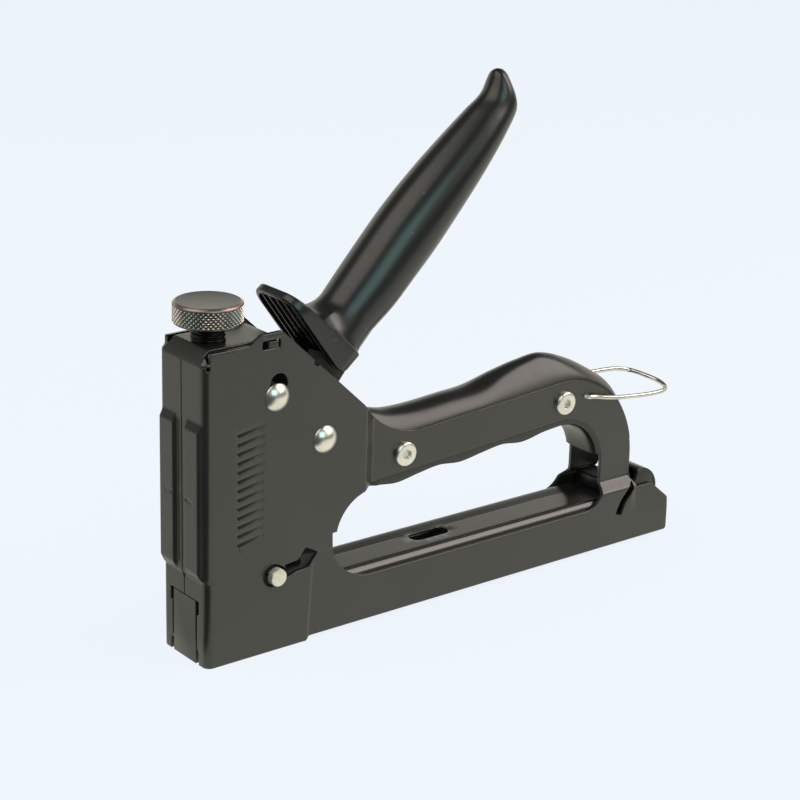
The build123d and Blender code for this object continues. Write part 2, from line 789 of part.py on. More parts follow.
def build():
    right = shell()
    nodes = {
        "right_shell": right,
        "left_shell": mirror(right, about=Plane.XZ),
        "nose_plate": nose_plate(),
        "top_bridge": top_bridge(),
        "stop_rivet": rivet(stop_x, stop_z),
        "pivot_rivet": rivet(pivot_x, pivot_z),
        "stop_sleeve": sleeve(stop_x, stop_z, stop_sleeve_r),
        "pivot_sleeve": sleeve(pivot_x, pivot_z, pivot_sleeve_r),
        "grip_insert": grip_insert(),
        "grip_screws": grip_screws(),
        "grip_nuts": grip_nuts(),
        "left_lever_plate": lever_plate(-plate_in - plate_t),
        "right_lever_plate": lever_plate(plate_in),
        "lever_spacers": lever_spacers(),
        "lift_pin": lift_pin(),
        "lever_handle": lever_handle(),
        "return_spring": return_spring(),
        "main_spring": main_spring(),
        "hammer": hammer(),
        "driver_blade": driver_blade(),
        "spring_seat": spring_seat(),
        "power_knob": power_knob(),
        "bumper": bumper(),
        "lock_pin": lock_pin(),
        "wire_bail": wire_bail(),
        "magazine_liner": magazine_liner(),
        "staple_rail": staple_rail(),
        "pusher": pusher(),
        "pusher_rod": pusher_rod(),
        "pusher_spring": pusher_spring(),
        "magazine_tail": magazine_tail(),
        "latch_pin": latch_pin(),
        "magazine_latch": magazine_latch(),
    }
    os.makedirs("parts", exist_ok=True)
    for name, piece in nodes.items():
        export_step(piece, "parts/" + name + ".step")


build()
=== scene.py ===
import math

import bmesh
import bpy
import numpy as np
from mathutils import Matrix, Vector
from mathutils.geometry import delaunay_2d_cdt


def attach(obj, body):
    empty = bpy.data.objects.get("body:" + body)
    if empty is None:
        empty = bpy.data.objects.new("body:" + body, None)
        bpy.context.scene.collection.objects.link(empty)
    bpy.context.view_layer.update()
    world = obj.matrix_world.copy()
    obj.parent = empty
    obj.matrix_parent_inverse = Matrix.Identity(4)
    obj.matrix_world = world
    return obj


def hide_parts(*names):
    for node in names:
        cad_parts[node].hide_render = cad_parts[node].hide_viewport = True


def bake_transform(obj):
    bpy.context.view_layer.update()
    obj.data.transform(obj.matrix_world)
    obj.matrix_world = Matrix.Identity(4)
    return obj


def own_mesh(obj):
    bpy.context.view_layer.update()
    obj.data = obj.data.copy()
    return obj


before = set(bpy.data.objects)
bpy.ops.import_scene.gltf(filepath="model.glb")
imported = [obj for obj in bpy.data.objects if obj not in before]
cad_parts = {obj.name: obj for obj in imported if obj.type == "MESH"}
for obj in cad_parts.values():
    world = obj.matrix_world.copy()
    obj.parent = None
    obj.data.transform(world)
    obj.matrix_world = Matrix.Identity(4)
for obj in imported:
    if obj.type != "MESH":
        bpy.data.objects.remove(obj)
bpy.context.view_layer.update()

MM = 0.001

# Sizes of the tacker in millimetres, X from nose to rear, Z up
NOSE_HALF = 11.3
GRIP_HALF = 7.5
GRIP_TILT = math.radians(4.3)
BEND = (132.0, 29.0)
PIVOT = (37.8, 60.5)
STOP = (21.3, 76.0)
SCREWS = ((69.4, 48.6), (132.1, 52.3))
KNOB_X = 6.2
LOCK_PIN = (20.5, 23.3)
PIN_TRAVEL, PIN_TILT = 9.0, math.radians(8)
LATCH_PIVOT = (170.2, 6.0)
LATCH_LUG = (155.4, 11.0)
HOOD = (166.2, 16.3, 7.6)
LEVER_TILT = math.radians(50.0)


class Value:
    """One socket of a node tree. Sums on it add Math nodes to the tree."""

    def __init__(self, tree, socket):
        self.tree = tree
        self.socket = socket

    def maths(self, operation, *terms):
        return self.tree.add("ShaderNodeMath", {"operation": operation}, dict(enumerate(terms)))

    def __add__(self, other):
        return self.maths("ADD", self, other)

    def __sub__(self, other):
        return self.maths("SUBTRACT", self, other)

    def __rsub__(self, other):
        return self.maths("SUBTRACT", other, self)

    def __mul__(self, other):
        return self.maths("MULTIPLY", self, other)

    def __truediv__(self, other):
        return self.maths("DIVIDE", self, other)

    __radd__ = __add__
    __rmul__ = __mul__

    def over(self, low, high):
        """0 below low, 1 above high, smooth between."""
        limits = {"Value": self, "From Min": low, "From Max": high}
        return self.tree.add("ShaderNodeMapRange", {"interpolation_type": "SMOOTHSTEP"}, limits)


class Tree:
    """A node tree, written down node by node."""

    def __init__(self, tree):
        self.tree = tree

    def add(self, kind, settings=None, sockets=None, out=0):
        node = self.tree.nodes.new(kind)
        for name, setting in (settings or {}).items():
            setattr(node, name, setting)
        for name, given in (sockets or {}).items():
            if isinstance(given, Value):
                self.tree.links.new(given.socket, node.inputs[name])
            else:
                node.inputs[name].default_value = given
        return Value(self, node.outputs[out]) if node.outputs else node


class Finish(Tree):
    """A surface finish made of nodes on Object coordinates."""

    def __init__(self, name):
        self.material = bpy.data.materials.new(name)
        self.material.use_nodes = True
        super().__init__(self.material.node_tree)
        self.tree.nodes.clear()
        self.place = self.add("ShaderNodeTexCoord", out="Object")

    def stretched(self, x, y, z):
        return self.add("ShaderNodeMapping", {}, {"Vector": self.place, "Scale": (x, y, z)})

    def noise(self, scale, detail=2.0, place=None):
        sockets = {"Vector": place or self.place, "Scale": scale, "Detail": detail}
        return self.add("ShaderNodeTexNoise", {}, sockets)

    def specks(self, scale, share):
        """1 in small round spots over that share of the cells, else 0."""
        sockets = {"Vector": self.place, "Scale": scale}
        cells = self.add("ShaderNodeTexVoronoi", {}, sockets, "Distance")
        chance = self.noise(scale * 0.37, 1.0)
        return (1 - cells.over(0.10, 0.22)) * chance.over(0.72 - share, 0.76 - share)

    def blend(self, share, first, second):
        return self.add("ShaderNodeMix", {"data_type": "RGBA"}, {0: share, 6: first, 7: second}, 2)

    def mottled(self, noise, first, second):
        """A tone that wanders between two colours."""
        return self.blend(noise.over(0.3, 0.7), colour(*first), colour(*second))

    def bump(self, height, depth_mm):
        return self.add("ShaderNodeBump", {}, {"Height": height, "Distance": depth_mm * MM, "Strength": 1.0})

    def shade(self, **sockets):
        """Ends the finish with a Principled surface, its sockets named in small letters."""
        named = {key.replace("_", " ").title().replace("Ior", "IOR"): given for key, given in sockets.items()}
        surface = self.add("ShaderNodeBsdfPrincipled", {}, named)
        self.add("ShaderNodeOutputMaterial", {}, {"Surface": surface})
        return self


def colour(r, g, b):
    return (r, g, b, 1.0)


def satin_paint():
    """Satin black stoving paint on sheet steel."""
    finish = Finish("satin_black_paint")
    mottle = finish.noise(55.0, 3.0)
    grain = finish.noise(2600.0, 2.0)
    dust = finish.specks(900.0, 0.05)
    tone = finish.mottled(mottle, (0.0105, 0.0102, 0.0085), (0.0140, 0.0135, 0.0110))
    tone = finish.blend(dust * 0.4, tone, colour(0.085, 0.083, 0.072))
    return finish.shade(
        base_color=tone,
        roughness=0.25 + 0.05 * mottle + 0.05 * grain + 0.10 * dust,
        specular_ior_level=0.8,
        normal=finish.bump(grain + dust * 0.6, 0.010),
    )


def glossy_plastic():
    """Glossy black moulded plastic."""
    finish = Finish("glossy_black_plastic")
    flow = finish.noise(38.0, 2.0)
    grain = finish.noise(1900.0, 2.0)
    scuff = finish.noise(300.0, 4.0, finish.stretched(1.0, 0.35, 0.4))
    tone = finish.mottled(flow, (0.0070, 0.0078, 0.0072), (0.0100, 0.0100, 0.0092))
    tone = finish.blend(finish.specks(420.0, 0.02) * 0.4, tone, colour(0.12, 0.12, 0.115))
    return finish.shade(
        base_color=tone,
        roughness=0.27 + 0.05 * flow + 0.06 * scuff.over(0.55, 0.8),
        specular_ior_level=0.6,
        normal=finish.bump(grain * 0.6 + flow, 0.010),
    )


def bright_nickel():
    """Bright nickel plating on turned steel."""
    finish = Finish("bright_nickel")
    cloud = finish.noise(420.0, 3.0)
    pits = finish.specks(1500.0, 0.06)
    tone = finish.mottled(cloud, (0.74, 0.71, 0.64), (0.83, 0.81, 0.75))
    tone = finish.blend(pits * 0.4, tone, colour(0.35, 0.33, 0.28))
    return finish.shade(
        base_color=tone,
        metallic=1.0,
        roughness=0.25 + 0.08 * cloud + 0.2 * pits,
        normal=finish.bump(cloud - pits * 0.5, 0.006),
    )


def plain_steel():
    """Plain rolled or ground steel with fine marks along X."""
    finish = Finish("plain_steel")
    marks = finish.noise(1400.0, 3.0, finish.stretched(0.06, 1.0, 1.0))
    cloud = finish.noise(160.0, 3.0)
    tone = finish.mottled(cloud, (0.50, 0.48, 0.43), (0.66, 0.64, 0.58))
    return finish.shade(
        base_color=tone,
        metallic=1.0,
        roughness=0.24 + 0.12 * marks + 0.08 * cloud,
        normal=finish.bump(marks, 0.008),
    )


def pin_steel():
    """Cut end of a pale zinc plated pin."""
    finish = Finish("pale_pin_steel")
    cloud = finish.noise(900.0, 3.0)
    tone = finish.mottled(cloud, (0.72, 0.69, 0.56), (0.80, 0.78, 0.68))
    return finish.shade(
        base_color=tone,
        metallic=0.85,
        roughness=0.38 + 0.12 * cloud,
        normal=finish.bump(cloud, 0.01),
    )


def spring_steel():
    """Oil tempered spring wire."""
    finish = Finish("spring_wire")
    cloud = finish.noise(800.0, 3.0)
    tone = finish.mottled(cloud, (0.16, 0.155, 0.15), (0.27, 0.26, 0.25))
    return finish.shade(
        base_color=tone,
        metallic=1.0,
        roughness=0.30 + 0.12 * cloud,
        normal=finish.bump(cloud, 0.01),
    )


def bail_steel():
    """Bright drawn wire."""
    finish = Finish("bright_wire")
    drawn = finish.noise(1200.0, 3.0, finish.stretched(0.1, 1.0, 1.0))
    tone = finish.mottled(drawn, (0.55, 0.54, 0.51), (0.72, 0.71, 0.68))
    return finish.shade(
        base_color=tone,
        metallic=1.0,
        roughness=0.16 + 0.12 * drawn,
        normal=finish.bump(drawn, 0.006),
    )


def gunmetal():
    """Dark blued steel of the knob, with turning rings round its axis. Its knurl tips are lighter, partly
    wear and partly a painted highlight, and its top chamfer carries a painted pinkish highlight.
    """
    finish = Finish("blued_gunmetal")
    axis = finish.add("ShaderNodeMapping", {}, {"Vector": finish.place, "Location": (-KNOB_X * MM, 0.0, 0.0)})
    wave = {"wave_type": "RINGS", "rings_direction": "Z"}
    rings = finish.add("ShaderNodeTexWave", wave, {"Vector": axis, "Scale": 700.0, "Distortion": 0.6}, 1)
    cloud = finish.noise(260.0, 3.0)
    height = finish.add("ShaderNodeSeparateXYZ", {}, {"Vector": axis}, "Z")
    out = finish.add("ShaderNodeVectorMath", {"operation": "MULTIPLY"}, {0: axis, 1: (1.0, 1.0, 0.0)})
    out = finish.add("ShaderNodeVectorMath", {"operation": "LENGTH"}, {0: out}, "Value")
    above_knurl = height.over(102.1 * MM, 102.3 * MM)
    above_stem = height.over(96.9 * MM, 97.1 * MM)
    # Knurl tips painted lighter: partly wear, partly a painted highlight.
    worn_tips_and_highlight = out.over(9.34 * MM, 9.6 * MM) * (1 - above_knurl)
    # Painted pinkish highlight on the top chamfer of the knob.
    chamfer_highlight = out.over(8.7 * MM, 8.9 * MM) * above_knurl
    tone = finish.mottled(cloud, (0.095, 0.095, 0.088), (0.130, 0.127, 0.117))
    tone = finish.blend(worn_tips_and_highlight, tone, colour(0.52, 0.49, 0.45))
    tone = finish.blend(1 - above_stem, tone, colour(0.020, 0.020, 0.019))
    tone = finish.blend(chamfer_highlight, tone, colour(0.27, 0.215, 0.20))
    return finish.shade(
        base_color=tone,
        metallic=0.92,
        roughness=0.27 + 0.06 * rings + 0.08 * cloud,
        normal=finish.bump(rings * 0.5 + cloud * 0.3, 0.006),
    )


def black_rubber():
    """Dull black rubber."""
    finish = Finish("black_rubber")
    cloud = finish.noise(500.0, 4.0)
    tone = finish.mottled(cloud, (0.012, 0.012, 0.012), (0.024, 0.023, 0.022))
    return finish.shade(
        base_color=tone,
        roughness=0.72 + 0.15 * cloud,
        normal=finish.bump(cloud, 0.03),
    )


def channel_paint():
    """Smooth black paint on the rolled strip of the magazine."""
    finish = Finish("channel_black_paint")
    marks = finish.noise(1500.0, 3.0, finish.stretched(0.04, 1.0, 1.0))
    cloud = finish.noise(90.0, 3.0)
    tone = finish.mottled(cloud, (0.0115, 0.0108, 0.0095), (0.0165, 0.0155, 0.0135))
    return finish.shade(
        base_color=tone,
        roughness=0.17 + 0.06 * marks + 0.05 * cloud,
        specular_ior_level=0.8,
        normal=finish.bump(marks, 0.005),
    )


def gloss_paint():
    """Glossy black paint of the latch."""
    finish = Finish("gloss_black_paint")
    flow = finish.noise(120.0, 2.0)
    grain = finish.noise(1500.0, 2.0)
    tone = finish.mottled(flow, (0.008, 0.008, 0.008), (0.013, 0.013, 0.012))
    return finish.shade(
        base_color=tone,
        roughness=0.16 + 0.08 * flow,
        specular_ior_level=0.5,
        normal=finish.bump(grain * 0.5 + flow, 0.008),
    )


def blackened_steel():
    """Blackened steel of the mechanism inside, dull with old grease."""
    finish = Finish("blackened_steel")
    cloud = finish.noise(300.0, 4.0)
    marks = finish.noise(1300.0, 3.0, finish.stretched(0.1, 1.0, 0.3))
    tone = finish.mottled(cloud, (0.022, 0.021, 0.020), (0.050, 0.048, 0.045))
    return finish.shade(
        base_color=tone,
        metallic=0.7,
        roughness=0.48 + 0.15 * marks,
        normal=finish.bump(marks, 0.010),
    )


PAINT = satin_paint()
GLOSS = gloss_paint()
CHANNEL = channel_paint()
BLACKENED = blackened_steel()
PLASTIC = glossy_plastic()
NICKEL = bright_nickel()
STEEL = plain_steel()
PIN = pin_steel()
SPRING = spring_steel()
WIRE = bail_steel()
GUNMETAL = gunmetal()
RUBBER = black_rubber()

CARRIED_OVER = {
    BLACKENED: ["stop_sleeve", "pivot_sleeve", "left_lever_plate", "right_lever_plate", "lever_spacers",
                "lift_pin", "hammer", "spring_seat", "latch_pin"],
    STEEL: ["driver_blade", "staple_rail", "pusher", "pusher_rod"],
    SPRING: ["return_spring"],
}


def dress_carried_over():
    for finish, nodes in CARRIED_OVER.items():
        for node in nodes:
            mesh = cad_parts[node].data
            mesh.materials.clear()
            mesh.materials.append(finish.material)


def add_piece(name, mesh, finish, body, slot, *nodes):
    """A new piece that rides on a body, if one is given, and stands for CAD nodes."""
    piece = bpy.data.objects.new(name, mesh)
    bpy.context.scene.collection.objects.link(piece)
    mesh.materials.clear()
    mesh.materials.append(finish.material)
    if body:
        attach(piece, body)
    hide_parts(*nodes)
    return piece


def with_modifiers(mesh, *modifiers):
    """The mesh after these modifiers, given as type and settings."""
    helper = bpy.data.objects.new("helper", mesh)
    bpy.context.scene.collection.objects.link(helper)
    for kind, settings in modifiers:
        modifier = helper.modifiers.new(kind.lower(), kind)
        for key, setting in settings.items():
            setattr(modifier, key, setting)
    graph = bpy.context.evaluated_depsgraph_get()
    made = bpy.data.meshes.new_from_object(helper.evaluated_get(graph))
    bpy.data.objects.remove(helper)
    return made


def soften(mesh, degrees):
    for polygon in mesh.polygons:
        polygon.use_smooth = True
    mesh.set_sharp_from_angle(angle=math.radians(degrees))


def unit(v):
    return v / np.linalg.norm(v)


def ramp(value, low, high):
    """0 below low, 1 above high, smooth between."""
    t = np.clip((value - low) / (high - low), 0.0, 1.0)
    return t * t * (3.0 - 2.0 * t)


def fold(value, low, high, soft):
    """0 below low, 1 above high, straight between, with both bends rounded."""
    def bend(d):
        return np.where(d > soft, d, np.where(d < -soft, 0.0, (d + soft) ** 2 / (4 * soft)))

    return (bend(value - low) - bend(value - high)) / (high - low)


def smooth(knots, values, at):
    """Smooth curves through columns of values at rising knots."""
    knots = np.asarray(knots, float)
    values = np.asarray(values, float)
    slopes = np.gradient(values, knots, axis=0)
    at = np.asarray(at, float)
    i = np.clip(np.searchsorted(knots, at, side="right") - 1, 0, len(knots) - 2)
    run = knots[i + 1] - knots[i]
    t = (at - knots[i]) / run
    if values.ndim > 1:
        t, run = t[:, None], run[:, None]
    near = (1 + 2 * t) * (1 - t) ** 2 * values[i] + t * (1 - t) ** 2 * run * slopes[i]
    return near + t * t * (3 - 2 * t) * values[i + 1] + t * t * (t - 1) * run * slopes[i + 1]


def arc(x, z, r, first, last, step=0.6):
    """Points on an arc between two angles in degrees."""
    turn = math.radians(last - first)
    pieces = max(3, math.ceil(abs(turn) * r / step), math.ceil(abs(turn) / 0.3))
    angles = math.radians(first) + turn * np.linspace(0, 1, pieces + 1)
    return np.stack((x + r * np.cos(angles), z + r * np.sin(angles)), axis=1)


def round_corners(corners, step=0.6):
    """Outline through corners given as x, z and corner radius."""
    points = []
    count = len(corners)
    for i, (x, z, r) in enumerate(corners):
        here = np.array((x, z))
        if r == 0:
            points.append(here[None])
            continue
        to_last = unit(np.array(corners[i - 1][:2]) - here)
        to_next = unit(np.array(corners[(i + 1) % count][:2]) - here)
        half = math.acos(float(np.dot(to_last, to_next))) / 2
        middle = here + unit(to_last + to_next) * r / math.sin(half)
        start = here + to_last * r / math.tan(half) - middle
        end = here + to_next * r / math.tan(half) - middle
        first = math.atan2(start[1], start[0])
        turn = math.remainder(math.atan2(end[1], end[0]) - first, math.tau)
        points.append(arc(*middle, r, math.degrees(first), math.degrees(first + turn), step))
    return np.concatenate(points)


def divided(loop, longest):
    """The loop with more points on its long runs, closest together round the front bend."""
    bend_from, bend_to, closest = -4.5, 1.0, 0.4
    points = []
    for here, after in zip(loop, np.roll(loop, -1, axis=0)):
        on_bend = min(here[0], after[0]) < bend_to and max(here[0], after[0]) > bend_from
        fine = closest if on_bend else longest
        pieces = max(1, math.ceil(np.linalg.norm(after - here) / fine))
        points += [here + (after - here) * k / pieces for k in range(pieces)]
    return np.array(points)


def area(loop):
    x, z = loop.T
    return 0.5 * float(np.sum(x * np.roll(z, -1) - np.roll(x, -1) * z))


def oriented(outer, *holes):
    """Outer loop anticlockwise, holes clockwise."""
    loops = [outer if area(outer) > 0 else outer[::-1]]
    return loops + [hole[::-1] if area(hole) > 0 else hole for hole in holes]


def inset(loop, distance):
    """The loop moved to its left by a distance."""
    ahead = np.roll(loop, -1, axis=0) - loop
    ahead /= np.linalg.norm(ahead, axis=1)[:, None]
    left = np.stack((-ahead[:, 1], ahead[:, 0]), axis=1)
    before = np.roll(left, 1, axis=0)
    mitre = (left + before) / np.maximum(0.4, 1.0 + np.sum(left * before, axis=1))[:, None]
    return loop + mitre * distance


def inside(points, loops):
    """Which points lie inside an odd number of loops."""
    odd = np.zeros(len(points), bool)
    for loop in loops:
        for (x0, z0), (x1, z1) in zip(loop, np.roll(loop, -1, axis=0)):
            if z0 != z1:
                spans = (z0 > points[:, 1]) != (z1 > points[:, 1])
                odd ^= spans & (points[:, 0] < (x1 - x0) * (points[:, 1] - z0) / (z1 - z0) + x0)
    return odd


def lattice(columns, rows):
    """Points where lines at these places cross."""
    x, z = np.meshgrid(columns, rows)
    return np.stack((x.ravel(), z.ravel()), axis=1)


def kept_inside(points, loops, clear):
    """Points that lie inside the loops and clear of their edges."""
    points = points[inside(points, loops)]
    fence = np.concatenate(loops)
    near = np.array([np.min(np.sum((fence - p) ** 2, axis=1)) for p in points])
    return points[near > clear ** 2]


def filled(loops, grid):
    """Triangles over the area inside the loops, with these points inside it."""
    points = np.concatenate([*loops, grid])
    edges = []
    start = 0
    for loop in loops:
        edges += [(start + i, start + (i + 1) % len(loop)) for i in range(len(loop))]
        start += len(loop)
    made = delaunay_2d_cdt([Vector(p) for p in points], edges, [], 0, 1e-6)
    flat = np.array([tuple(v) for v in made[0]])
    triangles = np.array(made[2])
    keep = inside(flat[triangles].mean(axis=1), loops)
    return flat, triangles[keep]


class Builder:
    """Collects points in millimetres and faces, and makes one mesh of them."""

    def __init__(self):
        self.points = []
        self.faces = []

    def add(self, points):
        first = sum(len(p) for p in self.points)
        self.points.append(np.asarray(points, float))
        return first

    def strip(self, first, second, count):
        """Quads between two closed rows of points."""
        for i in range(count):
            j = (i + 1) % count
            self.faces.append((first + i, first + j, second + j, second + i))

    def rows(self, rows):
        """Skin over closed rows of points. A row of one repeated point closes an end."""
        starts = [self.add(row) for row in rows]
        for first, second in zip(starts, starts[1:]):
            self.strip(first, second, len(rows[0]))

    def lathe(self, profile, place, count=64):
        """Turned form through rows of radius and height."""
        angles = np.arange(count) * math.tau / count
        ring = np.stack((np.cos(angles), np.sin(angles)), axis=1)
        self.rows([place(ring * r, np.full(count, h)) for r, h in profile])

    def tube(self, path, r, count=16):
        """Round wire along a path, closed at both ends."""
        path = np.asarray(path, float)
        ahead = np.gradient(path, axis=0)
        angles = np.arange(count) * math.tau / count
        side = np.cross(ahead[0], (0.3, 0.1, 1.0))
        rows = [np.repeat(path[:1], count, axis=0)]
        for point, along in zip(path, ahead):
            along = unit(along)
            side = unit(side - along * np.dot(side, along))
            over = np.cross(along, side)
            rows.append(point + r * (np.cos(angles)[:, None] * side + np.sin(angles)[:, None] * over))
        rows.append(np.repeat(path[-1:], count, axis=0))
        self.rows(rows)

    def plate(self, loops, place, thick, edge, back_edge=0.0, grid=None):
        """Plate with rounded edges. place puts flat points at a depth below its outer face."""
        angles = [math.radians(a) for a in (0, 30, 60, 90)]
        rings = [[(inset(loop, edge * (1 - math.cos(a))), 1 - math.sin(a)) for a in angles] for loop in loops]
        inner = [made[-1][0] for made in rings]
        flat, triangles = filled(inner, np.zeros((0, 2)) if grid is None else grid(inner))
        rims = []
        for level, fall in ((0.0, edge), (thick, -back_edge)):
            first = self.add(place(flat, np.full(len(flat), level)))
            self.faces += [tuple(first + t) for t in (triangles if level else triangles[:, ::-1])]
            for made in rings:
                rows = [self.add(place(ring, np.full(len(ring), level + fall * drop))) for ring, drop in made]
                for low, high in zip(rows, rows[1:]):
                    self.strip(*((low, high) if level else (high, low)), len(made[0][0]))
                rims.append(rows[0])
        for number, loop in enumerate(loops):
            self.strip(rims[number], rims[number + len(loops)], len(loop))

    def mesh(self, name, smooth_to, mirrored=False):
        points = np.concatenate(self.points) * MM
        if mirrored:
            points = points * np.array((1.0, -1.0, 1.0))
        rough = bpy.data.meshes.new(name)
        rough.from_pydata(points.tolist(), [], [tuple(int(i) for i in face) for face in self.faces])
        work = bmesh.new()
        work.from_mesh(rough)
        bpy.data.meshes.remove(rough)
        bmesh.ops.remove_doubles(work, verts=work.verts, dist=0.002 * MM)
        bmesh.ops.dissolve_degenerate(work, edges=work.edges, dist=1e-7)
        bmesh.ops.recalc_face_normals(work, faces=work.faces)
        made = bpy.data.meshes.new(name)
        work.to_mesh(made)
        work.free()
        soften(made, smooth_to)
        return made


def upright(x):
    """Places turned forms on an axis along Z."""
    return lambda ring, h: np.column_stack((x + ring[:, 0], ring[:, 1], h))


def crosswise(x, z):
    """Places turned forms on an axis along Y."""
    return lambda ring, h: np.column_stack((x + ring[:, 0], h, z + ring[:, 1]))


def from_side(y):
    """Places flat forms of X and Z with their outer face at Y."""
    return lambda flat, depth: np.column_stack((flat[:, 0], y - depth, flat[:, 1]))


def geometry_tree(name, **inputs):
    """Geometry Nodes tree with named inputs, and the values that its input node gives."""
    group = bpy.data.node_groups.new(name, "GeometryNodeTree")
    group.interface.new_socket("Geometry", in_out="INPUT", socket_type="NodeSocketGeometry")
    group.interface.new_socket("Geometry", in_out="OUTPUT", socket_type="NodeSocketGeometry")
    for title, kind in inputs.items():
        group.interface.new_socket(title, in_out="INPUT", socket_type="NodeSocket" + kind)
    tree = Tree(group)
    node = group.nodes.new("NodeGroupInput")
    return tree, {socket.name: Value(tree, socket) for socket in node.outputs if socket.name}


def finish_tree(tree, given, geometry):
    dressed = tree.add("GeometryNodeSetMaterial", {}, {"Geometry": geometry, "Material": given["Finish"]})
    tree.add("NodeGroupOutput", {}, {"Geometry": dressed})
    return tree


def copies_in_line():
    """Copies of a mesh at even steps along a line."""
    tree, given = geometry_tree("copies_in_line", Count="Int", Start="Vector", Step="Vector",
                                Finish="Material")
    sockets = {"Count": given["Count"], "Start Location": given["Start"], "Offset": given["Step"]}
    line = tree.add("GeometryNodeMeshLine", {"mode": "OFFSET"}, sockets)
    copies = tree.add("GeometryNodeInstanceOnPoints", {}, {"Points": line, "Instance": given["Geometry"]})
    return finish_tree(tree, given, tree.add("GeometryNodeRealizeInstances", {}, {"Geometry": copies}))


def wound_coil():
    """Round wire wound up along Z."""
    tree, given = geometry_tree("wound_coil", Turns="Float", Radius="Float", Wire="Float", Height="Float",
                                Finish="Material")
    sockets = {"Resolution": 40, "Rotations": given["Turns"], "Start Radius": given["Radius"],
               "End Radius": given["Radius"], "Height": given["Height"]}
    spiral = tree.add("GeometryNodeCurveSpiral", {}, sockets)
    ring = tree.add("GeometryNodeCurvePrimitiveCircle", {}, {"Resolution": 14, "Radius": given["Wire"]})
    sockets = {"Curve": spiral, "Profile Curve": ring, "Fill Caps": True}
    return finish_tree(tree, given, tree.add("GeometryNodeCurveToMesh", {}, sockets))


def knurled_band():
    """Copies of one tooth in staggered rows round an axis along Z."""
    tree, given = geometry_tree("knurled_band", Count="Int", Rows="Int", Radius="Float", Pitch="Float",
                                Finish="Material")
    index = tree.add("GeometryNodeInputIndex")
    rounds = index / given["Count"]
    row = rounds.maths("FLOOR", rounds)
    stagger = row.maths("MODULO", row, 2.0)
    angle = (index - row * given["Count"] + stagger * 0.5) * math.tau / given["Count"]
    sockets = {"X": given["Radius"] * angle.maths("COSINE", angle),
               "Y": given["Radius"] * angle.maths("SINE", angle), "Z": row * given["Pitch"]}
    place = tree.add("ShaderNodeCombineXYZ", {}, sockets)
    points = tree.add("GeometryNodePoints", {}, {"Count": given["Count"] * given["Rows"], "Position": place})
    euler = tree.add("ShaderNodeCombineXYZ", {}, {"Y": math.pi / 2, "Z": angle})
    turn = tree.add("FunctionNodeEulerToRotation", {}, {"Euler": euler})
    sockets = {"Points": points, "Instance": given["Geometry"], "Rotation": turn}
    copies = tree.add("GeometryNodeInstanceOnPoints", {}, sockets)
    return finish_tree(tree, given, tree.add("GeometryNodeRealizeInstances", {}, {"Geometry": copies}))


COPIES = copies_in_line()
COIL = wound_coil()
KNURL = knurled_band()


def grown(tree, mesh, finish, **settings):
    """What a Geometry Nodes tree with these inputs makes of a mesh."""
    helper = bpy.data.objects.new("helper", mesh or bpy.data.meshes.new("start"))
    bpy.context.scene.collection.objects.link(helper)
    modifier = helper.modifiers.new("tree", "NODES")
    modifier.node_group = tree.tree
    settings["Finish"] = finish.material
    for item in tree.tree.interface.items_tree:
        if item.in_out == "INPUT" and item.name in settings:
            modifier[item.identifier] = settings[item.name]
    graph = bpy.context.evaluated_depsgraph_get()
    made = bpy.data.meshes.new_from_object(helper.evaluated_get(graph))
    bpy.data.objects.remove(helper)
    return made


def joined(name, *meshes):
    """One mesh of several, with all their shells."""
    work = bmesh.new()
    for mesh in meshes:
        work.from_mesh(mesh)
    made = bpy.data.meshes.new(name)
    work.to_mesh(made)
    work.free()
    return made


def moved(mesh, x, y, z, turn=None):
    """The mesh turned and then moved, in millimetres."""
    mesh.transform(Matrix.Translation((x * MM, y * MM, z * MM)) @ (turn or Matrix()))
    return mesh


# Blank of a shell, unrolled: P runs along the side as X and on round the front corner to the seam
SHEET = 1.2
SEAM = 0.03
CORNER = 2.3
NOSE_X, COLUMN_X = -1.8, -2.45
BEND_P = NOSE_X + CORNER
BEND_RUN = CORNER * math.pi / 2 + NOSE_X - COLUMN_X
FLAT_HALF = NOSE_HALF - CORNER
COLUMN_TOP = 88.4
MAG_STEP = 0.4
GRIP_STEP = 3.8
EDGE = 0.32
LOUVRES, LOUVRE_PITCH, LOUVRE_DEEP = 13, 2.68, 0.62
LOUVRE_X, LOUVRE_TOP = 8.4, 67.4
LOUVRE_TILT = math.atan2(1.9, 8.6)


def front_p(y):
    """Place on the blank of a point of the front wall."""
    return BEND_P - BEND_RUN - (FLAT_HALF - y)


def grip_top(x):
    return 59.115 + (x - 129.736) * math.tan(GRIP_TILT)


def slope_top(x):
    return 94.7 - 0.93 * (x - 23.0)


def blank_outline():
    seam = front_p(SEAM)
    meet = (slope_top(0) - grip_top(0)) / (0.93 + math.tan(GRIP_TILT))
    return round_corners([
        (front_p(7.0), 0, 0.25), (32.4, 0, 0.6), (33.6, 1.1, 0.6), (177.5, 1.1, 1.0), (177.5, 12.4, 1.2),
        (170.4, 18.5, 1.2), (162.2, 18.5, 0.6), (162.2, grip_top(162.2), 30.2), (meet, grip_top(meet), 24),
        (35.7, slope_top(35.7), 0.2), (34.9, 82.4, 0.2), (33.6, 83.6, 0.2), (34.1, slope_top(34.1), 0.2),
        (23.0, 94.7, 1.6), (16.2, 94.5, 0.8), (12.4, 92.1, 0.8), (-0.6, 91.9, 0.5),
        (-0.6, 87.2, 0.25), (-1.5, 87.2, 0.25), (-1.5, COLUMN_TOP, 0.2),
        (seam, COLUMN_TOP, 0), (seam, 19.3, 0), (front_p(7.1), 19.3, 0.2),
        (front_p(7.1), 15.4, 0.2), (front_p(6.15), 15.0, 0.2), (front_p(6.15), 5.0, 0.2),
        (front_p(7.0), 3.4, 0.2),
    ])


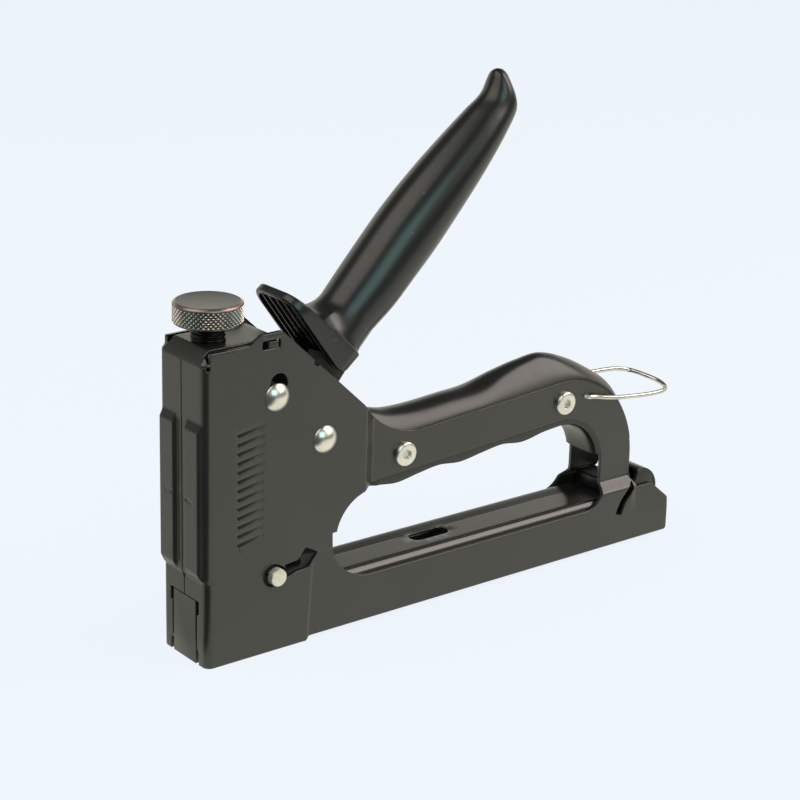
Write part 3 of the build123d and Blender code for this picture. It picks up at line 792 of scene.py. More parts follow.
def hand_hole():
    """Two front arcs with a small step between them, a round rear end and a straight foot."""
    upper = arc(55.9, 28.285, 13.6, 167.2, 93.4)
    rear = arc(*BEND, 17.4, 93.4, 0.0)
    heel = arc(140.4, 24.2, 9.0, 0.0, -90.0)
    lower = arc(55.2, 29.2, 14.0, 270.0, 180.0)
    return np.concatenate((upper, rear, heel, lower, [(41.2, 31.3)]))


def obround(x0, z0, x1, z1, r):
    """Outline of a slot from one point to another."""
    along = math.degrees(math.atan2(z1 - z0, x1 - x0))
    far = arc(x1, z1, r, along - 90, along + 90, 0.4)
    return np.concatenate((far, arc(x0, z0, r, along + 90, along + 270, 0.4)))


def pin_hole():
    """Outline of the stepped slot of the lock pin."""
    ring = arc(*LOCK_PIN, 3.3, 46, 322)
    run = round_corners([(29.0, 22.6, 0.4), (32.8, 22.9, 0.5), (36.2, 26.6, 0.6), (31.7, 29.2, 0.6),
                         (29.0, 25.9, 0.7), (23.6, 25.4, 0.4)])
    return np.concatenate((ring, run))


def latch_hole():
    """Outline of the curved slot beside the magazine latch."""
    sweep, half = 42.0, 1.25
    to_lug = (LATCH_LUG[0] - LATCH_PIVOT[0], LATCH_LUG[1] - LATCH_PIVOT[1])
    reach = math.hypot(*to_lug)
    first = math.degrees(math.atan2(to_lug[1], to_lug[0]))
    outer = arc(*LATCH_PIVOT, reach + half, first, first - sweep)
    return np.concatenate((outer, arc(*LATCH_PIVOT, reach - half, first - sweep, first)))


def pressed(p, z):
    """Height of the pressed forms over the plain blank."""
    step = 32.5 + (z + 2.0) * 1.9 / 29.0
    magazine = ramp(p, step - 0.5, step + 0.5) * (1.0 - ramp(z, 26.4, 27.6) * (p < 60.0))
    joggle = 3.4 * fold(z, 19.4, 22.3, 0.35) * (p > 100.0)
    facet = 0.085 * np.clip(z - 8.8, 0.0, None) * fold(p, 160.6, 163.2, 0.4)
    grip = GRIP_STEP * fold(p, 52.6, 57.6, 0.5)
    on_grip = (z > 30.0) & (p > 45.0) & (p < 152.0)
    height = np.where(on_grip, -grip, -MAG_STEP * magazine - joggle - facet * (z < 19.0))
    height = np.where((z > 30.0) & (p <= 45.0), 0.0, height)
    reach = p - front_p(0.0)
    across = ramp(reach, 2.2, 2.9) * (1.0 - ramp(reach, 9.1, 10.3))
    ends = np.clip((z - 26.2) / 2.4, 0.0, 1.0) * np.clip((72.0 - z) / 2.4, 0.0, 1.0)
    notch = np.clip(1.0 - np.abs(z - 49.1 + 0.12 * (reach - 4.0)) / 0.6, 0.0, 1.0)
    notch = notch * (1.0 - ramp(reach, 6.4, 7.4))
    return np.where(p < BEND_P, across * ends * (1.2 - 0.35 * notch), height)


def louvre_depth(p, z):
    """Saw-tooth strips sunk into the outer face behind the column."""
    s, c = math.sin(LOUVRE_TILT), math.cos(LOUVRE_TILT)
    depth = np.zeros_like(p)
    for i in range(LOUVRES):
        low = LOUVRE_TOP - LOUVRE_PITCH * i
        u = (p - LOUVRE_X) * c + (z - low) * s
        v = (z - low) * c - (p - LOUVRE_X) * s
        slope, step = np.clip((1.0 - v) / 1.62, 0.0, 1.0), np.clip((v + 0.95) / 0.33, 0.0, 1.0)
        tooth = np.where(v > -0.62, slope, step)
        ends = ramp(u, -0.5, 0.1) * (1.0 - ramp(u, 7.6, 9.4))
        depth = np.maximum(depth, LOUVRE_DEEP * tooth * ends * (1.0 - 0.5 * np.clip(u / 8.8, 0.0, 1.0)))
    return depth


def bent(flat, drop):
    """Points of the blank, bent to shape and sunk below its outer face by drop."""
    p, z = flat.T
    rise = pressed(p, z) - louvre_depth(p, z) * (1.0 - drop / SHEET) - drop
    face = np.interp(z, (25.4, 26.6), (NOSE_X, COLUMN_X))
    run = np.clip(BEND_P - p, 0.0, None)
    straight = NOSE_X - face
    path = np.clip(run / BEND_RUN, 0.0, 1.0) * (straight + CORNER * math.pi / 2)
    turn = np.clip(path - straight, 0.0, None) / CORNER
    x = np.where(p >= BEND_P, p, BEND_P - np.minimum(path, straight))
    on_bend = turn > 0.0
    x = np.where(on_bend, face + CORNER - (CORNER + rise) * np.sin(turn), x)
    y = np.where(on_bend, FLAT_HALF + (CORNER + rise) * np.cos(turn), NOSE_HALF + rise)
    on_front = run > BEND_RUN
    x = np.where(on_front, face - rise, x)
    y = np.where(on_front, FLAT_HALF - (run - BEND_RUN), y)
    return np.stack((x, y, z), axis=1)


def blank_grid(loops):
    """Points over the blank, close together where it is pressed."""
    def patch(x0, x1, z0, z1, step_x, step_z):
        return lattice(np.arange(x0, x1, step_x), np.arange(z0, z1, step_z))

    def beside(x0, z0, x1, z1, offsets, step):
        along = np.array((x1 - x0, z1 - z0))
        across = np.array((-along[1], along[0])) / np.linalg.norm(along)
        shares = np.linspace(0, 1, max(2, int(np.linalg.norm(along) / step)))
        return np.concatenate([np.array((x0, z0)) + along * shares[:, None] + across * d for d in offsets])

    steps = (-0.9, -0.5, -0.25, 0.0, 0.25, 0.5, 0.9)
    parts = [
        patch(20.0, 178.0, 1.7, 94.0, 3.1, 3.1),
        patch(front_p(0.4), BEND_P + 0.1, 20.0, 88.3, 0.32, 0.55),
        patch(front_p(6.6), BEND_P + 0.1, 0.4, 20.0, 0.4, 1.5),
        patch(BEND_P + 0.7, 7.2, 0.8, 91.6, 1.9, 2.9),
        patch(7.2, 19.6, 70.5, 91.5, 3.0, 3.0),
        patch(7.2, 19.6, 0.8, 32.0, 3.0, 3.0),
        beside(32.5, -1.5, 34.4, 26.6, steps, 1.2),
        beside(52.6, 38.0, 52.6, 68.0, steps, 1.2),
        beside(57.6, 38.0, 57.6, 66.0, steps, 1.2),
        beside(160.6, 2.0, 160.6, 18.0, (-0.4, 0.0, 0.4), 1.0),
        beside(163.2, 2.0, 163.2, 18.0, (-0.4, 0.0, 0.4), 1.0),
        beside(160.6, 8.8, 177.0, 8.8, (-0.3, 0.0, 0.3), 1.0),
    ]
    for z in (18.6, 19.05, 19.4, 19.75, 20.8, 21.95, 22.3, 22.65, 23.1):
        parts.append(patch(143.0, 162.0, z, z + 0.1, 0.8, 1.0))
    s, c = math.sin(LOUVRE_TILT), math.cos(LOUVRE_TILT)
    across = np.array((-0.98, -0.9, -0.75, -0.62, -0.5, 0.0, 0.5, 0.95))
    along = np.concatenate((np.arange(-0.7, 0.5, 0.2), np.arange(0.5, 7.5, 1.0), np.arange(7.6, 9.7, 0.3)))
    for i in range(LOUVRES):
        low = LOUVRE_TOP - LOUVRE_PITCH * i
        for u in along:
            parts.append(np.stack((LOUVRE_X + u * c - across * s, low + u * s + across * c), axis=1))
    return kept_inside(np.concatenate(parts), loops, 0.3)


def make_shells():
    """Both halves of the body: blank cut out, pressed, bent and given its thickness."""
    window = round_corners([(16.4, 90.2, 0.4), (22.2, 90.2, 0.4), (22.2, 92.6, 0.4), (16.4, 92.6, 0.4)], 0.3)
    stop = obround(STOP[0], STOP[1], STOP[0] + 0.6, STOP[1] + 3.9, 2.8)
    loops = oriented(blank_outline(), hand_hole(), stop, pin_hole(), latch_hole(), window)
    build = Builder()
    build.plate([divided(loop, 2.5) for loop in loops], bent, SHEET, EDGE, grid=blank_grid)
    for side in ("left", "right"):
        mesh = build.mesh(side + "_pressed_shell", 50, side == "left")
        mesh = with_modifiers(mesh, ("WEIGHTED_NORMAL", {"keep_sharp": True}))
        add_piece(side + "_pressed_shell", mesh, PAINT, "frame", "black_paint", side + "_shell")


def make_nose_plate():
    """Plate between the shells at the foot of the nose."""
    half, top = 5.7, 19.28
    face = round_corners([(-half, 0, 0.3), (half, 0, 0.3), (half, top, 0.1), (-half, top, 0.1)], 0.2)
    build = Builder()
    build.plate(oriented(face), lambda flat, depth: np.column_stack((NOSE_X + depth, flat)), SHEET, 0.25)
    mesh = build.mesh("bent_nose_plate", 45)
    add_piece("bent_nose_plate", mesh, PAINT, "frame", "black_paint", "nose_plate")


def make_bridge():
    """Top plate under the knob, rounded down to the column in front, with tabs in the windows."""
    front, half, r = COLUMN_X, NOSE_HALF - 0.05, CORNER
    waist, tab = 8.5, 11.2

    def place(flat, depth):
        x, y = flat.T
        ahead = x - front
        beside = half - np.abs(y) + np.clip((x + 0.75) * 2.5, 0.0, 10.0)
        corner = r - np.hypot(np.clip(r - ahead, 0.0, r), np.clip(r - beside, 0.0, r))
        to_rim = np.where((ahead < r) & (beside < r), corner, np.minimum(ahead, beside))
        rise = np.clip(to_rim / 3.4, 0.0, 1.0)
        top = 88.6 + 3.6 * (0.85 * fold(rise, 0.0, 1.0, 0.06) + 0.15 * np.sqrt(1 - (1 - rise) ** 2))
        return np.column_stack((x, y, np.maximum(top - depth, 88.4)))

    def grid(loops):
        columns = np.concatenate((np.arange(-2.3, 2.6, 0.25), np.arange(3.0, 23.0, 2.0)))
        return kept_inside(lattice(columns, np.arange(-11.0, 11.1, 0.4)), loops, 0.15)

    near_edge = [(front, -half, r), (-0.8, -half, 0.2), (-0.8, -waist, 0.1), (18.4, -waist, 0.2),
                 (18.4, -tab, 0.3), (21.8, -tab, 0.3), (21.8, -waist, 0.2), (23.4, -waist, 0.5)]
    outline = round_corners(near_edge + [(x, -y, corner) for x, y, corner in near_edge[::-1]], 0.3)
    build = Builder()
    build.plate(oriented(divided(outline, 1.5)), place, 1.8, 0.2, grid=grid)
    add_piece("top_plate", build.mesh("top_plate", 50), PAINT, "frame", "black_paint", "top_bridge")


def plated_pair(mesh, first, second):
    """The mesh at one place on the side and once more at another."""
    step = ((second[0] - first[0]) * MM, 0.0, (second[1] - first[1]) * MM)
    return grown(COPIES, mesh, NICKEL, Count=2, Start=(0.0, 0.0, 0.0), Step=step)


def make_rivets():
    """Two rivets with domed heads on both ends."""
    head_r, head_rise, head_top, rim, shank = 4.1, 2.1, 13.4, 4.08, 2.4
    ball = (head_r ** 2 + head_rise ** 2) / (2 * head_rise)
    angles = np.linspace(0, math.asin(rim / ball), 14)
    half = [(ball * math.sin(a), head_top - ball * (1 - math.cos(a))) for a in angles]
    half += [(rim, 11.25), (shank, 11.3), (shank, 5.0)]
    build = Builder()
    build.lathe(half + [(r, -h) for r, h in half[::-1]], crosswise(*STOP))
    mesh = plated_pair(build.mesh("rivet", 40), STOP, PIVOT)
    add_piece("domed_rivets", mesh, NICKEL, "frame", "bright_nickel", "stop_rivet", "pivot_rivet")


def make_grip_fasteners():
    """Socket screws on the near side and their sleeve nuts on the far side."""
    head_r, head_high, edge_r, shank = 3.8, 1.5, 0.9, 1.9
    rim = [(head_r - edge_r + edge_r * math.sin(a), head_high - edge_r + edge_r * math.cos(a))
           for a in np.linspace(0, math.pi / 2, 7)]
    count = 72
    angles = np.arange(count) * math.tau / count
    hexagon = math.cos(math.pi / 6) / np.cos((angles + math.pi / 6) % (math.pi / 3) - math.pi / 6)
    ring = np.stack((np.cos(angles), np.sin(angles)), axis=1)
    socket = [(0, 0.05, 1), (1.0, 0.2, hexagon), (1.5, 0.25, hexagon), (1.5, 1.3, hexagon),
              (1.75, 1.5, hexagon)]
    body = [(head_r, 0.0, 1), (shank, 0.0, 1), (shank, -10.5, 1), (0, -10.5, 1)]
    place = crosswise(*SCREWS[0])
    rows = [place(ring * (r * np.ones(count) * shape)[:, None], np.full(count, -GRIP_HALF - h))
            for r, h, shape in (*socket, *((r, h, 1) for r, h in rim), *body)]
    build = Builder()
    build.rows(rows)
    mesh = plated_pair(build.mesh("socket_screw", 35), *SCREWS)
    add_piece("socket_screws", mesh, NICKEL, "frame", "bright_nickel", "grip_screws")
    sleeve = [(head_r, 0.0), (2.7, 0.0), (2.7, -6.0), (2.0, -6.0), (2.0, -3.0), (0, -3.0)]
    build = Builder()
    build.lathe([(r, GRIP_HALF + h) for r, h in [(0, 1.62), (1.6, 1.58), *rim, *sleeve]], place)
    mesh = plated_pair(build.mesh("sleeve_nut", 35), *SCREWS)
    add_piece("sleeve_nuts", mesh, NICKEL, "frame", "bright_nickel", "grip_nuts")


def make_lock_pin():
    """Lock pin with a flat head on both sides."""
    half = [(0, 13.8), (2.15, 13.8), (2.45, 13.7), (2.6, 13.45), (2.6, 11.6), (0.8, 11.6), (0.8, 6.0)]
    head_on = 0.4
    build = Builder()
    place = crosswise(LOCK_PIN[0] + head_on, LOCK_PIN[1])
    build.lathe(half + [(r, -h) for r, h in half[::-1]], place, 48)
    add_piece("headed_pin", build.mesh("headed_pin", 35), PIN, "pin", "bright_nickel", "lock_pin")


def make_knob():
    """Turned knob with a diamond knurl and a threaded stem."""
    band_r, teeth = 9.3, 44
    build = Builder()
    build.lathe([(0, 86.0), (4.3, 86.0), (4.55, 86.3), (4.55, 97.0), (8.9, 97.0), (9.35, 97.2), (9.4, 97.45),
                 (band_r, 97.6), (band_r, 102.1), (9.55, 102.2), (9.7, 102.35), (9.66, 102.6), (9.4, 102.95),
                 (8.85, 103.25), (8.65, 103.2), (8.5, 103.18), (0, 103.18)], upright(KNOB_X), 104)
    turned = build.mesh("turned_knob", 32)
    tooth = Builder()
    high, wide, sunk = 0.72, math.pi * band_r / teeth, 0.06
    base = np.array([(high, 0, -sunk), (0, wide, -sunk), (-high, 0, -sunk), (0, -wide, -sunk)])
    point = np.zeros((4, 3))
    tooth.rows([point - (0, 0, sunk), base, base * 0.14 + (0, 0, 0.43), point + (0, 0, 0.42)])
    band = grown(KNURL, tooth.mesh("knurl_tooth", 10), GUNMETAL,
                 Count=teeth, Rows=7, Radius=band_r * MM, Pitch=0.66 * MM)
    thread = grown(COIL, None, GUNMETAL, Turns=9.0, Radius=4.52 * MM, Wire=0.38 * MM, Height=11.25 * MM)
    soften(thread, 60)
    mesh = joined("knurled_knob", turned, moved(band, KNOB_X, 0, 97.86), moved(thread, KNOB_X, 0, 86.2))
    add_piece("knurled_knob", mesh, GUNMETAL, "knob", "gunmetal", "power_knob")


def make_springs():
    """Drive spring, as a lower length of seven turns and an upper end of one turn, and feed spring."""
    foot, long, turns = 42.95, 40.1, 8
    meet = foot + long * 7 / turns
    for name, body, part, low, end in (("drive_spring", "striker", 7.0, foot, 42.0),
                                       ("drive_spring_end", "seat", 1.0, meet, 84.0)):
        coil = grown(COIL, None, SPRING, Turns=part, Radius=5.1 * MM, Wire=0.9 * MM,
                     Height=long * MM * part / turns)
        soften(coil, 60)
        spring = add_piece(name, moved(coil, KNOB_X, 0, low), SPRING, None, "spring_steel", "main_spring")
        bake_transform(spring)
    coil = grown(COIL, None, SPRING, Turns=24.0, Radius=2.5 * MM, Wire=0.35 * MM, Height=142.6 * MM)
    soften(coil, 60)
    coil = moved(coil, 14.9, 0, 7.0, Matrix.Rotation(math.pi / 2, 4, "Y"))
    spring = add_piece("feed_spring", coil, SPRING, "magazine_core", "spring_steel", "pusher_spring")
    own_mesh(spring)


def make_bail():
    """Bent wire loop behind the grip."""
    spots = np.array([
        (140.8, -5.2, 52.75), (140.8, -6.6, 52.75), (140.95, -7.6, 52.74), (141.6, -8.5, 52.7),
        (143.0, -8.8, 52.6), (147.0, -8.82, 51.7), (151.0, -8.84, 50.85), (158.3, -8.86, 49.85),
        (165.4, -8.86, 49.15), (170.7, -8.83, 48.85), (173.6, -8.6, 48.85), (175.6, -7.9, 48.95),
        (177.0, -6.6, 49.1), (177.7, -4.7, 49.4), (177.9, -2.3, 49.75), (177.6, 0.2, 50.1),
        (177.0, 2.5, 50.4), (176.0, 5.4, 50.85), (174.8, 7.6, 51.2), (173.0, 8.6, 51.6),
        (170.4, 8.84, 52.2), (165.5, 8.84, 52.75), (158.0, 8.84, 53.1), (150.0, 8.82, 53.05),
        (143.0, 8.8, 52.8), (141.6, 8.5, 52.76), (140.95, 7.6, 52.75), (140.8, 6.6, 52.75),
        (140.8, 5.2, 52.75),
    ])
    knots = np.concatenate(([0.0], np.cumsum(np.linalg.norm(np.diff(spots, axis=0), axis=1))))
    build = Builder()
    build.tube(smooth(knots, spots, np.linspace(0.0, knots[-1], 260)), 0.75)
    add_piece("bent_bail", build.mesh("bent_bail", 60), WIRE, "bail", "bright_nickel", "wire_bail")


def make_channel():
    """Magazine channel: sheet bent down on both sides, with two grooves and a slot in its top."""
    flat_half, bend_r, wall, groove = 6.8, 2.8, 12.9, 0.55
    front, rear = 0.9, 152.0
    bend_run = bend_r * math.pi / 2
    half = flat_half + bend_run + wall

    def place(flat, depth):
        x, v = flat.T
        side = np.sign(v)
        past = np.abs(v) - flat_half
        turn = np.clip(past, 0.0, bend_run) / bend_r
        level = depth + groove * np.clip(1.0 - np.abs(v - 2.3) / 0.35, 0.0, 1.0)
        level = level + groove * np.clip(1.0 - np.abs(v + 8.0) / 0.32, 0.0, 1.0)
        level = level + 0.07 * np.clip(6.6 - v, 0.0, None) * ramp(v, 2.3, 2.5)
        y = side * (np.minimum(np.abs(v), flat_half) + (bend_r - level) * np.sin(turn))
        z = 14.5 + (bend_r - level) * np.cos(turn) - np.clip(past - bend_run, 0.0, None)
        return np.column_stack((x, y, z))

    def grid(loops):
        rows = [*np.arange(-half + 2, -11.5, 2.2), *np.arange(-11.2, -8.5, 0.28), -8.32, -8.24, -8.16, -8.0,
                -7.84, -7.76, -7.68, -7.4, -7.1, -6.8, -6.0, -4.0, -2.9, 0.9, 1.4, 1.95, 2.1, 2.3, 2.5, 2.65,
                3.0, 5.0, *np.arange(6.6, 11.4, 0.4), *np.arange(11.6, half - 1, 2.2)]
        return kept_inside(lattice(np.arange(3.0, 151.0, 3.0), rows), loops, 0.1)

    ends = [(front, -half, 0.3), (rear, -half, 0.3), (rear, half, 0.3), (front, half, 0.3)]
    slot = obround(80.8, -0.6, 89.6, -0.6, 2.6)
    loops = oriented(divided(round_corners(ends, 0.3), 1.5), divided(slot, 1.0))
    build = Builder()
    build.plate(loops, place, 0.8, 0.12, grid=grid)
    mesh = build.mesh("magazine_channel", 40)
    add_piece("magazine_channel", mesh, CHANNEL, "frame", "plain_steel", "magazine_liner")


def make_latch():
    """Latch of the magazine: two arms with lugs and a rounded hood over the rear end."""
    x, z, r = HOOD
    half = 8.7
    build = Builder()
    hood = np.concatenate((arc(x, z, r, -6, 101, 0.4), arc(x, z, r - SHEET, 101, -6, 0.4)))
    build.plate(oriented(hood), from_side(half), 2 * half, 0.35, 0.35)
    arm = round_corners([(174.0, 5.0, 2.5), (x + r - 0.7, z, 0.8), (x + 0.64 * r, z + 0.72 * r, 2.5),
                         (x - 0.11 * r, z + 0.93 * r, 0.8), (161.2, 12.6, 1.0), (156.0, 12.5, 1.1),
                         (154.1, 10.3, 1.1), (167.0, 2.2, 3.0), (172.4, 2.0, 3.0)], 0.4)
    for outer in (half, SHEET - half):
        build.plate(oriented(arm), from_side(outer), SHEET, 0.25, 0.25)
    lug = [(0, 8.0), (1.0, 8.0), (1.0, 9.45), (0.85, 9.6), (0, 9.6)]
    for side in (-1, 1):
        build.lathe([(radius, side * out) for radius, out in lug], crosswise(*LATCH_LUG), 32)
    add_piece("hooded_latch", build.mesh("hooded_latch", 40), GLOSS, "latch", "black_paint", "magazine_latch")


def make_tail():
    """Plastic tail block of the magazine, higher in front of the latch hood."""
    half = 7.2
    side = round_corners([(152.8, 14.0, 0.4), (158.0, 13.0, 0.3), (158.0, 1.6, 0.4), (176.3, 1.6, 1.0),
                          (176.3, 11.0, 1.0), (170.0, 17.2, 1.0), (163.2, 17.2, 0.8), (160.6, 21.6, 0.8),
                          (152.8, 21.6, 0.8)], 0.3)
    build = Builder()
    build.plate(oriented(side), from_side(half), 2 * half, 0.35, 0.35)
    mesh = build.mesh("tail_block", 40)
    add_piece("tail_block", mesh, PLASTIC, "magazine_core", "black_plastic", "magazine_tail")


def make_bumper():
    """Rubber block under the hammer, slotted for the lock pin."""
    half = 10.0
    side = round_corners([(0.7, 19.0, 0.3), (39.6, 19.0, 0.5), (39.6, 26.6, 0.8), (14.2, 26.6, 0.3),
                          (14.2, 29.6, 0.4), (0.7, 29.6, 0.3)], 0.3)
    x, z = LOCK_PIN
    slit = obround(x, z, x + PIN_TRAVEL * math.cos(PIN_TILT), z + PIN_TRAVEL * math.sin(PIN_TILT), 1.5)
    build = Builder()
    build.plate(oriented(side, slit), from_side(half), 2 * half, 0.25, 0.25)
    add_piece("rubber_bumper", build.mesh("rubber_bumper", 40), RUBBER, "frame", "black_rubber", "bumper")


# Sections of the squeeze handle: way along and across the lever from its pivot, half width, half depth, lean
HANDLE = np.array([
    (24, 9.9, 8.7, 8.5, -8), (32, 9.2, 9.0, 8.6, -6), (44, 7.85, 9.75, 9.45, -5), (54, 7.2, 9.9, 9.7, -4.5),
    (62, 6.65, 9.95, 9.85, -4), (78, 5.45, 9.55, 9.15, -3), (92, 4.2, 8.6, 8.0, -1), (104, 3.3, 7.1, 6.7, 2),
    (110, 3.0, 6.0, 5.9, 1), (111.5, 3.25, 5.8, 5.8, 0), (113, 4.1, 5.5, 5.5, 0), (114.5, 5.3, 4.85, 4.85, 0),
    (116, 6.85, 3.8, 3.8, 0), (117.0, 7.6, 2.85, 2.85, 0), (117.7, 7.9, 2.0, 2.0, 0),
    (118.1, 8.0, 1.3, 1.3, 0), (118.35, 8.1, 0.6, 0.6, 0),
])
NECK = 34.0
FLANGE_TILT = math.radians(40.0)
FLANGE_OUT = np.array((math.cos(FLANGE_TILT), math.sin(FLANGE_TILT)))
FLANGE_UP = np.array((-math.sin(FLANGE_TILT), math.cos(FLANGE_TILT)))
FLANGE_BASE = np.array(PIVOT) + FLANGE_OUT * 16.1
FLANGE_FRONT, FLANGE_REAR, FLANGE_HALF = 38.9, 6.6, 10.5
FLANGE_FALL = 0.133
FLANGE_EDGE = 0.5


def handle_ring(u, angles):
    w, across, deep, lean = smooth(HANDLE[:, 0], HANDLE[:, 1:], np.array([u]))[0]
    a = LEVER_TILT + math.radians(lean)
    x = PIVOT[0] + u * math.cos(LEVER_TILT) - w * math.sin(LEVER_TILT)
    z = PIVOT[1] + u * math.sin(LEVER_TILT) + w * math.cos(LEVER_TILT)
    rise = deep * np.sin(angles)
    return np.column_stack((x - rise * math.sin(a), across * np.cos(angles), z + rise * math.cos(a)))


def to_flange(points):
    """Place along, across and above the foot of the flange."""
    rest = points[:, (0, 2)] - FLANGE_BASE
    return np.column_stack((rest @ FLANGE_UP, points[:, 1], rest @ FLANGE_OUT))


def from_flange(t, y, h):
    spots = FLANGE_BASE + np.multiply.outer(t, FLANGE_UP) + np.multiply.outer(h, FLANGE_OUT)
    return np.column_stack((spots[:, 0], y, spots[:, 1]))


def flange_top(t):
    return 8.4 - FLANGE_FALL * (t - FLANGE_REAR)


def flange_foot(t):
    rear = np.clip((FLANGE_REAR + 6.5 - t) / 6.6, 0.0, 1.0)
    return 6.0 * (1 - np.sqrt(1 - rear ** 2)) + 1.9 * np.clip((t - 12.0) / 27.0, 0.0, 1.0)


def make_handle():
    """Moulded handle, its neck spread into a ribbed flange over the lever."""
    count = 160
    angles = np.arange(count) * math.tau / count
    tip = [118.35, 118.25, 118.1, 117.9, 117.7, 117.4, 117.0, 116.5, 116.0, 115.3, 114.5, 113.6, 112.5]
    rows = [np.repeat(handle_ring(118.45, angles).mean(axis=0)[None], count, axis=0)]
    rows += [handle_ring(u, angles) for u in [*tip, *np.arange(111.0, NECK, -1.6)]]
    neck = to_flange(handle_ring(NECK, angles))
    middle = neck.mean(axis=0)
    lean = (math.sin(math.radians(4.0)), math.cos(math.radians(4.0)))

    def dropped(points):
        fall = (points[:, 2] - flange_top(points[:, 0])) / (lean[1] + FLANGE_FALL * lean[0])
        return np.column_stack((points[:, 0] - fall * lean[0], points[:, 1]))

    foot = dropped(neck)
    centre = dropped(middle[None])[0]
    outline = round_corners([(FLANGE_REAR, -FLANGE_HALF, 5.5), (FLANGE_FRONT, -FLANGE_HALF, 6.0),
                             (FLANGE_FRONT, FLANGE_HALF, 6.0), (FLANGE_REAR, FLANGE_HALF, 5.5)], 0.3) - centre
    outline = divided(outline, 0.3)
    turn = np.arctan2(foot[:, 1] - centre[1], foot[:, 0] - centre[0])
    ray = np.column_stack((np.cos(turn), np.sin(turn)))
    waist = np.linalg.norm(foot - centre, axis=1)
    order = np.argsort(np.arctan2(outline[:, 1], outline[:, 0]))
    bearings = np.arctan2(outline[order, 1], outline[order, 0])
    rim = np.interp(turn, bearings, np.linalg.norm(outline[order], axis=1), period=math.tau)
    rim = np.maximum(rim, waist + 0.55)
    reach = np.minimum(rim - FLANGE_EDGE - waist, 9.0)
    spread = foot + ray * reach[:, None]
    for a in np.linspace(0.0, math.pi / 2, 12):
        flat = foot + (spread - foot) * (1 - math.cos(a)) + (neck[:, :2] - foot) * (1 - math.sin(a))
        h = flange_top(spread[:, 0]) * (1 - math.cos(a)) + flange_top(foot[:, 0]) * math.cos(a)
        h = h + (neck[:, 2] - flange_top(foot[:, 0])) * (1 - math.sin(a))
        rows.append(from_flange(*flat.T, h))

    def ring(in_by, level):
        flat = centre + ray * (rim - in_by)[:, None]
        return from_flange(*flat.T, level(flat[:, 0]))

    for share in (0.5, 1.0):
        flat = spread + ray * ((rim - FLANGE_EDGE - waist - reach) * share)[:, None]
        rows.append(from_flange(*flat.T, flange_top(flat[:, 0])))
    for a in (30, 60, 90):
        s, c = math.sin(math.radians(a)), math.cos(math.radians(a))
        rows.append(ring(FLANGE_EDGE * (1 - s), lambda t: flange_top(t) - FLANGE_EDGE * (1 - c)))
    for in_by, rise in ((0.0, 0.4), (0.06, 0.2), (0.2, 0.06), (0.4, 0.0), (1.5, 0.0)):
        rows.append(ring(in_by, lambda t: flange_foot(t) + rise))
    wall = 1.6
    for in_by in (wall, 6.0):
        rows.append(ring(in_by, lambda t: np.maximum(0.7, flange_top(t) - wall)))
    crown = from_flange(centre[:1], np.zeros(1), flange_top(centre[:1]) - wall)
    rows.append(np.repeat(crown, count, axis=0))
    build = Builder()
    build.rows(rows)
    fin = Builder()
    side = [(10.5, 0.3, 0.2), (12.5, 0.3, 0.2), (37.0, 2.1, 0.2), (37.0, 3.0, 0), (10.5, 6.6, 0)]
    fin.plate(oriented(round_corners(side, 0.1)),
              lambda flat, depth: from_flange(flat[:, 0], 0.35 - depth, flat[:, 1]), 0.7, 0.15, 0.15)
    fins = grown(COPIES, fin.mesh("fin", 40), PLASTIC, Count=5, Start=(0.0, -6.8 * MM, 0.0),
                 Step=(0.0, 3.4 * MM, 0.0))
    mesh = joined("moulded_handle", build.mesh("handle", 38), fins)
    add_piece("moulded_handle", mesh, PLASTIC, "lever", "black_plastic", "lever_handle")


# Grip insert, drawn by its crown and its finger waves
CROWN = np.array([
    (47.0, 63.2), (55.0, 63.6), (61.0, 62.3), (66.0, 61.1), (72.0, 60.6), (79.0, 60.7), (88.0, 61.3),
    (100.0, 62.2), (110.0, 64.8), (119.0, 66.6), (128.5, 67.2), (136.5, 64.7), (146.0, 59.9), (154.6, 54.0),
    (159.8, 45.9), (162.9, 37.5), (163.6, 32.0),
])
WAVES = np.array([
    (48.2, 39.2), (60.5, 39.85), (67.5, 38.95), (75.5, 40.3), (83.0, 41.4), (91.8, 40.5), (100.0, 41.8),
    (107.7, 42.9), (116.2, 41.85), (125.5, 43.6), (132.0, 44.2), (139.6, 42.2), (145.2, 36.6), (147.0, 32.0),
])
GRIP_RUN = np.array((math.cos(GRIP_TILT), math.sin(GRIP_TILT)))
GRIP_RISE = np.array((-math.sin(GRIP_TILT), math.cos(GRIP_TILT)))
BEND_R = 24.0
DOME_FOOT = 30.15


def along_grip(points):
    """Way along the grip from its bend to the front, negative round the bend, and height over its line."""
    rest = points - np.array(BEND)
    way = -(rest @ GRIP_RUN)
    turn = np.arctan2(rest @ GRIP_RUN, rest @ GRIP_RISE)
    height = np.where(way >= 0, rest @ GRIP_RISE, np.linalg.norm(rest, axis=1))
    return np.where(way >= 0, way, -BEND_R * turn), height


def dome(half, rise):
    """Section over the grip plates, far edge to near edge: round crown, long flanks, short edges."""
    step, edge_r = 2.0, 0.8
    tall = min(max(rise, 4.2), 9.5)
    tilt = np.radians(np.arange(step / 2, 90.0, step))
    zone = np.digitize(np.degrees(tilt), (48.0, 68.0))
    out, down = np.cos(tilt) * math.radians(step), np.sin(tilt) * math.radians(step)
    shares = np.array([[run[zone == k].sum() for k in range(3)] for run in (out, down)])
    crown_r, flank_r = np.linalg.solve(shares[:, :2], np.array((half, tall)) - edge_r * shares[:, 2])
    radius = np.choose(zone, (crown_r, flank_r, edge_r))
    y = np.concatenate(([0.0], np.cumsum(radius * out)))
    h = (tall - np.concatenate(([0.0], np.cumsum(radius * down)))) * rise / tall
    return np.concatenate((y[::-1], -y[1:])), np.concatenate((h[::-1], h[1:]))


